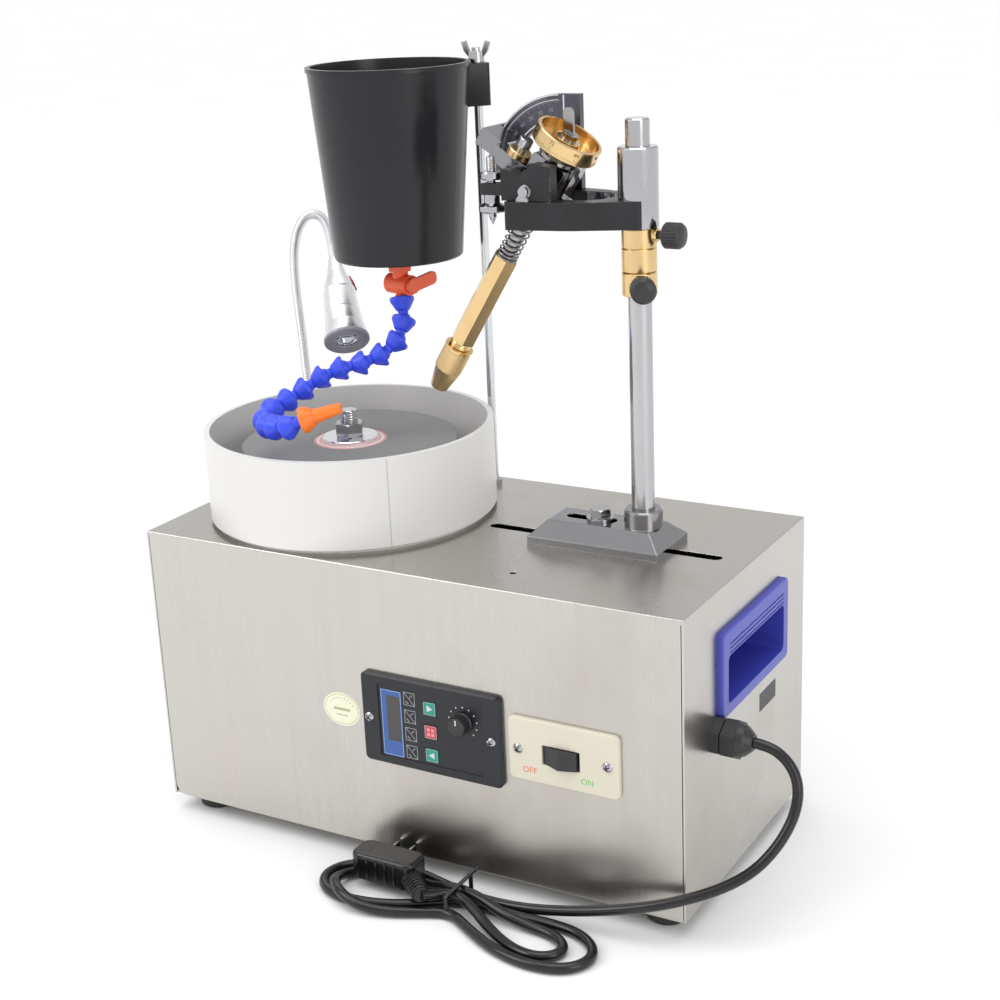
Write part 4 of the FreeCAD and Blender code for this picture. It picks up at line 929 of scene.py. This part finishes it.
def clamp_screw():
    """Brass thumb disc and steel screw on the carrier, beside the quill."""
    base = head(-24, 0, 0)
    thumb_disc = lathe([(3.0, 5.2), (7.4, 5.2), (8.0, 5.8), (8.0, 9.6), (7.4, 10.2), (3.0, 10.2),
                        (3.0, 5.2)], base, QUILL_UP, 48)
    add_piece("clamp_disc", thumb_disc, "head", MATERIALS["brass"])
    stud = lathe([(0, 5.0), (2.9, 5.0), (2.9, 13.0), (4.6, 13.0), (4.6, 18.0), (4.0, 18.6), (0, 18.6)],
                 base, QUILL_UP, 32)
    add_piece("clamp_stud", stud, "head", MATERIALS["bright_steel"])


# ---------------------------------------------------------------- plug
def plug_details():
    """Ribs on the plug's sleeve and grip, and its plated blades."""
    low = 7.5
    base, way = at(18, -129, low + 7), heading(-40)
    ribs = []
    for i in range(6):
        h = 8.5 + 2.9 * i
        r = 6.5 - 1.5 * h / 26
        ribs.append(lathe([(r - 0.3, h), (r + 0.75, h + 0.3), (r + 0.75, h + 1.3), (r - 0.3, h + 1.6),
                           (r - 0.3, h)], base, way, 36))
    for i in range(5):
        ribs.append(block(at(-17 + 7 * i, -125, low + 9), (1.6, 23.6, 15.0), None, 0.6))
    rib_piece = add_piece("plug_ribs", merge(*ribs), "case", MATERIALS["cord_black"])
    blades = [block(at(x, -107.4, low + 9.15), (1.7, 12.2, 6.5), None, 0.3) for x in (-7.25, 5.45)]
    blade_piece = add_piece("plug_blades", merge(*blades), "case",
                             MATERIALS["bright_steel"])
    return [rib_piece, blade_piece]


control_face()
lettering("word_off", "OFF", 96.5, WORD_Z, WORD_SIZE, PLATE_FACE, RED_PRINT)
lettering("word_on", "ON", 136.5, WORD_Z, WORD_SIZE, PLATE_FACE, GREEN_PRINT)
cross_screws()
sticker()
lap_pieces()
bowl_seam()
gooseneck()
lamp_face()
spring()
brass_threads()
wheel_marks()
scale_marks()
bracket_details()
well_liner()
clamp_screw()


# ---------------------------------------------------------------- mains cord
CORD_R = 3.4
LEAD = [(225, -52, 118), (233.4, -52, 117.6), (241.2, -52.1, 114.6), (247.9, -52.6, 109.1),
        (252.6, -53.6, 101.8), (254.9, -55.6, 92.9), (254.9, -59.7, 82.7), (252.3, -66.3, 71.8),
        (246.9, -74.9, 60.8), (238.2, -84.9, 50.1), (224.5, -95.5, 41.5), (206, -105, 34), (185, -112, 27),
        (162, -116, 20.5), (139, -118, 14.5), (117, -118.6, 9.5), (97, -118.6, 5.8), (78, -118.5, 4.2)]
HANK = [
    # left outer turn
    (56, -117.5, 3.6), (36, -113, 3.6), (14, -107.5, 3.6), (-8, -106.5, 3.6), (-28, -112, 3.6),
    (-41, -123, 3.6), (-44, -137, 3.6), (-36, -149, 3.6), (-20, -155, 3.6), (0, -153.5, 3.6),
    (20, -147, 3.6), (38, -136, 3.6), (54, -126, 3.6),
    # right outer turn
    (74, -125.2, 3.6), (96, -125.8, 3.6), (118, -124, 3.6), (138, -125.5, 3.6), (153, -134, 3.6),
    (159.5, -147, 3.6), (154, -160.5, 3.6), (140, -168, 3.6), (120, -169, 3.6), (98, -163.5, 3.6),
    (76, -152, 3.6), (56, -140, 3.6),
    # left inner turn, over the outer one at its far end
    (38, -148, 3.6), (20, -157, 4.0), (2, -161.5, 5.5), (-13, -160, 9.0), (-24, -153, 10.6),
    (-31, -142.5, 8.0), (-31.5, -130, 4.4), (-23, -119.5, 3.6), (-8, -115.5, 3.6), (10, -116, 3.6),
    (28, -119, 4.2), (42, -121, 8.6), (56, -123, 10.6),
    # right inner turn
    (72, -127.5, 10.6), (90, -133, 8.0), (108, -133.5, 4.6), (124, -134, 3.6), (136, -140, 3.6),
    (140, -149, 3.6), (134, -158, 3.6), (121, -161, 3.6), (104, -156, 3.6), (86, -146, 5.0),
    (70, -136.5, 9.0),
    # back through the tie to the plug
    (56, -130.5, 10.6), (48, -133.5, 11.6), (42, -140, 13.0), (38, -145.8, 14.3),
]


def mains_cord(on_it):
    cord = spline("mains_cord", [at(*p) for p in LEAD + HANK], CORD_R * MM)
    cord.data.materials.append(MATERIALS["cord_black"])
    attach(cord, "case")
    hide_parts("power_lead", "cord_hank")


mains_cord(plug_details())


# ---------------------------------------------------------------- floor and light
LIT = Vector((0, 0, 0.2))


def make_stage():
    bpy.ops.mesh.primitive_plane_add(size=40.0, location=(0, 0, 0))
    floor = bpy.context.object
    floor.name = "floor"
    n = Nodes("pale_floor")
    tone = n.noise(3.0, detail=3.0)
    floor.data.materials.append(n.set(base=n.mix(tone, (0.86, 0.86, 0.86), (0.90, 0.90, 0.90)), rough=0.55,
                                      specular=0.25))
    world = bpy.data.worlds.new("studio")
    bpy.context.scene.world = world
    world.use_nodes = True
    tree = world.node_tree
    background = tree.nodes["Background"]
    coords = tree.nodes.new("ShaderNodeTexCoord")
    split = tree.nodes.new("ShaderNodeSeparateXYZ")
    ramp = tree.nodes.new("ShaderNodeValToRGB")
    tree.links.new(coords.outputs["Generated"], split.inputs[0])
    tree.links.new(split.outputs["Z"], ramp.inputs["Fac"])
    tree.links.new(ramp.outputs["Color"], background.inputs["Color"])
    stops = ramp.color_ramp.elements
    stops[0].position, stops[0].color = 0.0, (1, 1, 1, 1)
    stops[1].position, stops[1].color = 1.0, (0.95, 0.95, 0.96, 1)
    for place, tone_value in ((0.16, 0.98), (0.30, 0.80), (0.55, 0.70), (0.72, 0.85)):
        stop = stops.new(place)
        stop.color = (tone_value, tone_value, tone_value * 1.01, 1)
    background.inputs["Strength"].default_value = 1.0


def sky_light(name, strength, spread):
    """Soft light from straight above that reaches the far floor too; spread in degrees."""
    data = bpy.data.lights.new(name, "SUN")
    data.energy, data.angle = strength, math.radians(spread)
    light = bpy.data.objects.new(name, data)
    bpy.context.scene.collection.objects.link(light)


def area_light(name, place, size, power):
    """A rectangle of light that faces the middle of the machine; place and size in metres."""
    data = bpy.data.lights.new(name, "AREA")
    data.shape, data.size, data.size_y = "RECTANGLE", size[0], size[1]
    data.energy = power
    light = bpy.data.objects.new(name, data)
    bpy.context.scene.collection.objects.link(light)
    light.location = place
    light.rotation_mode = "QUATERNION"
    light.rotation_quaternion = (LIT - Vector(place)).to_track_quat("-Z", "Y")


make_stage()
sky_light("overhead_sky", 1.0, 50)
area_light("key_softbox", (-1.3, -1.3, 1.7), (1.2, 1.2), 16)
area_light("fill_softbox", (1.9, -0.9, 0.9), (0.9, 1.4), 9)
bpy.context.scene.view_settings.view_transform = "Standard"
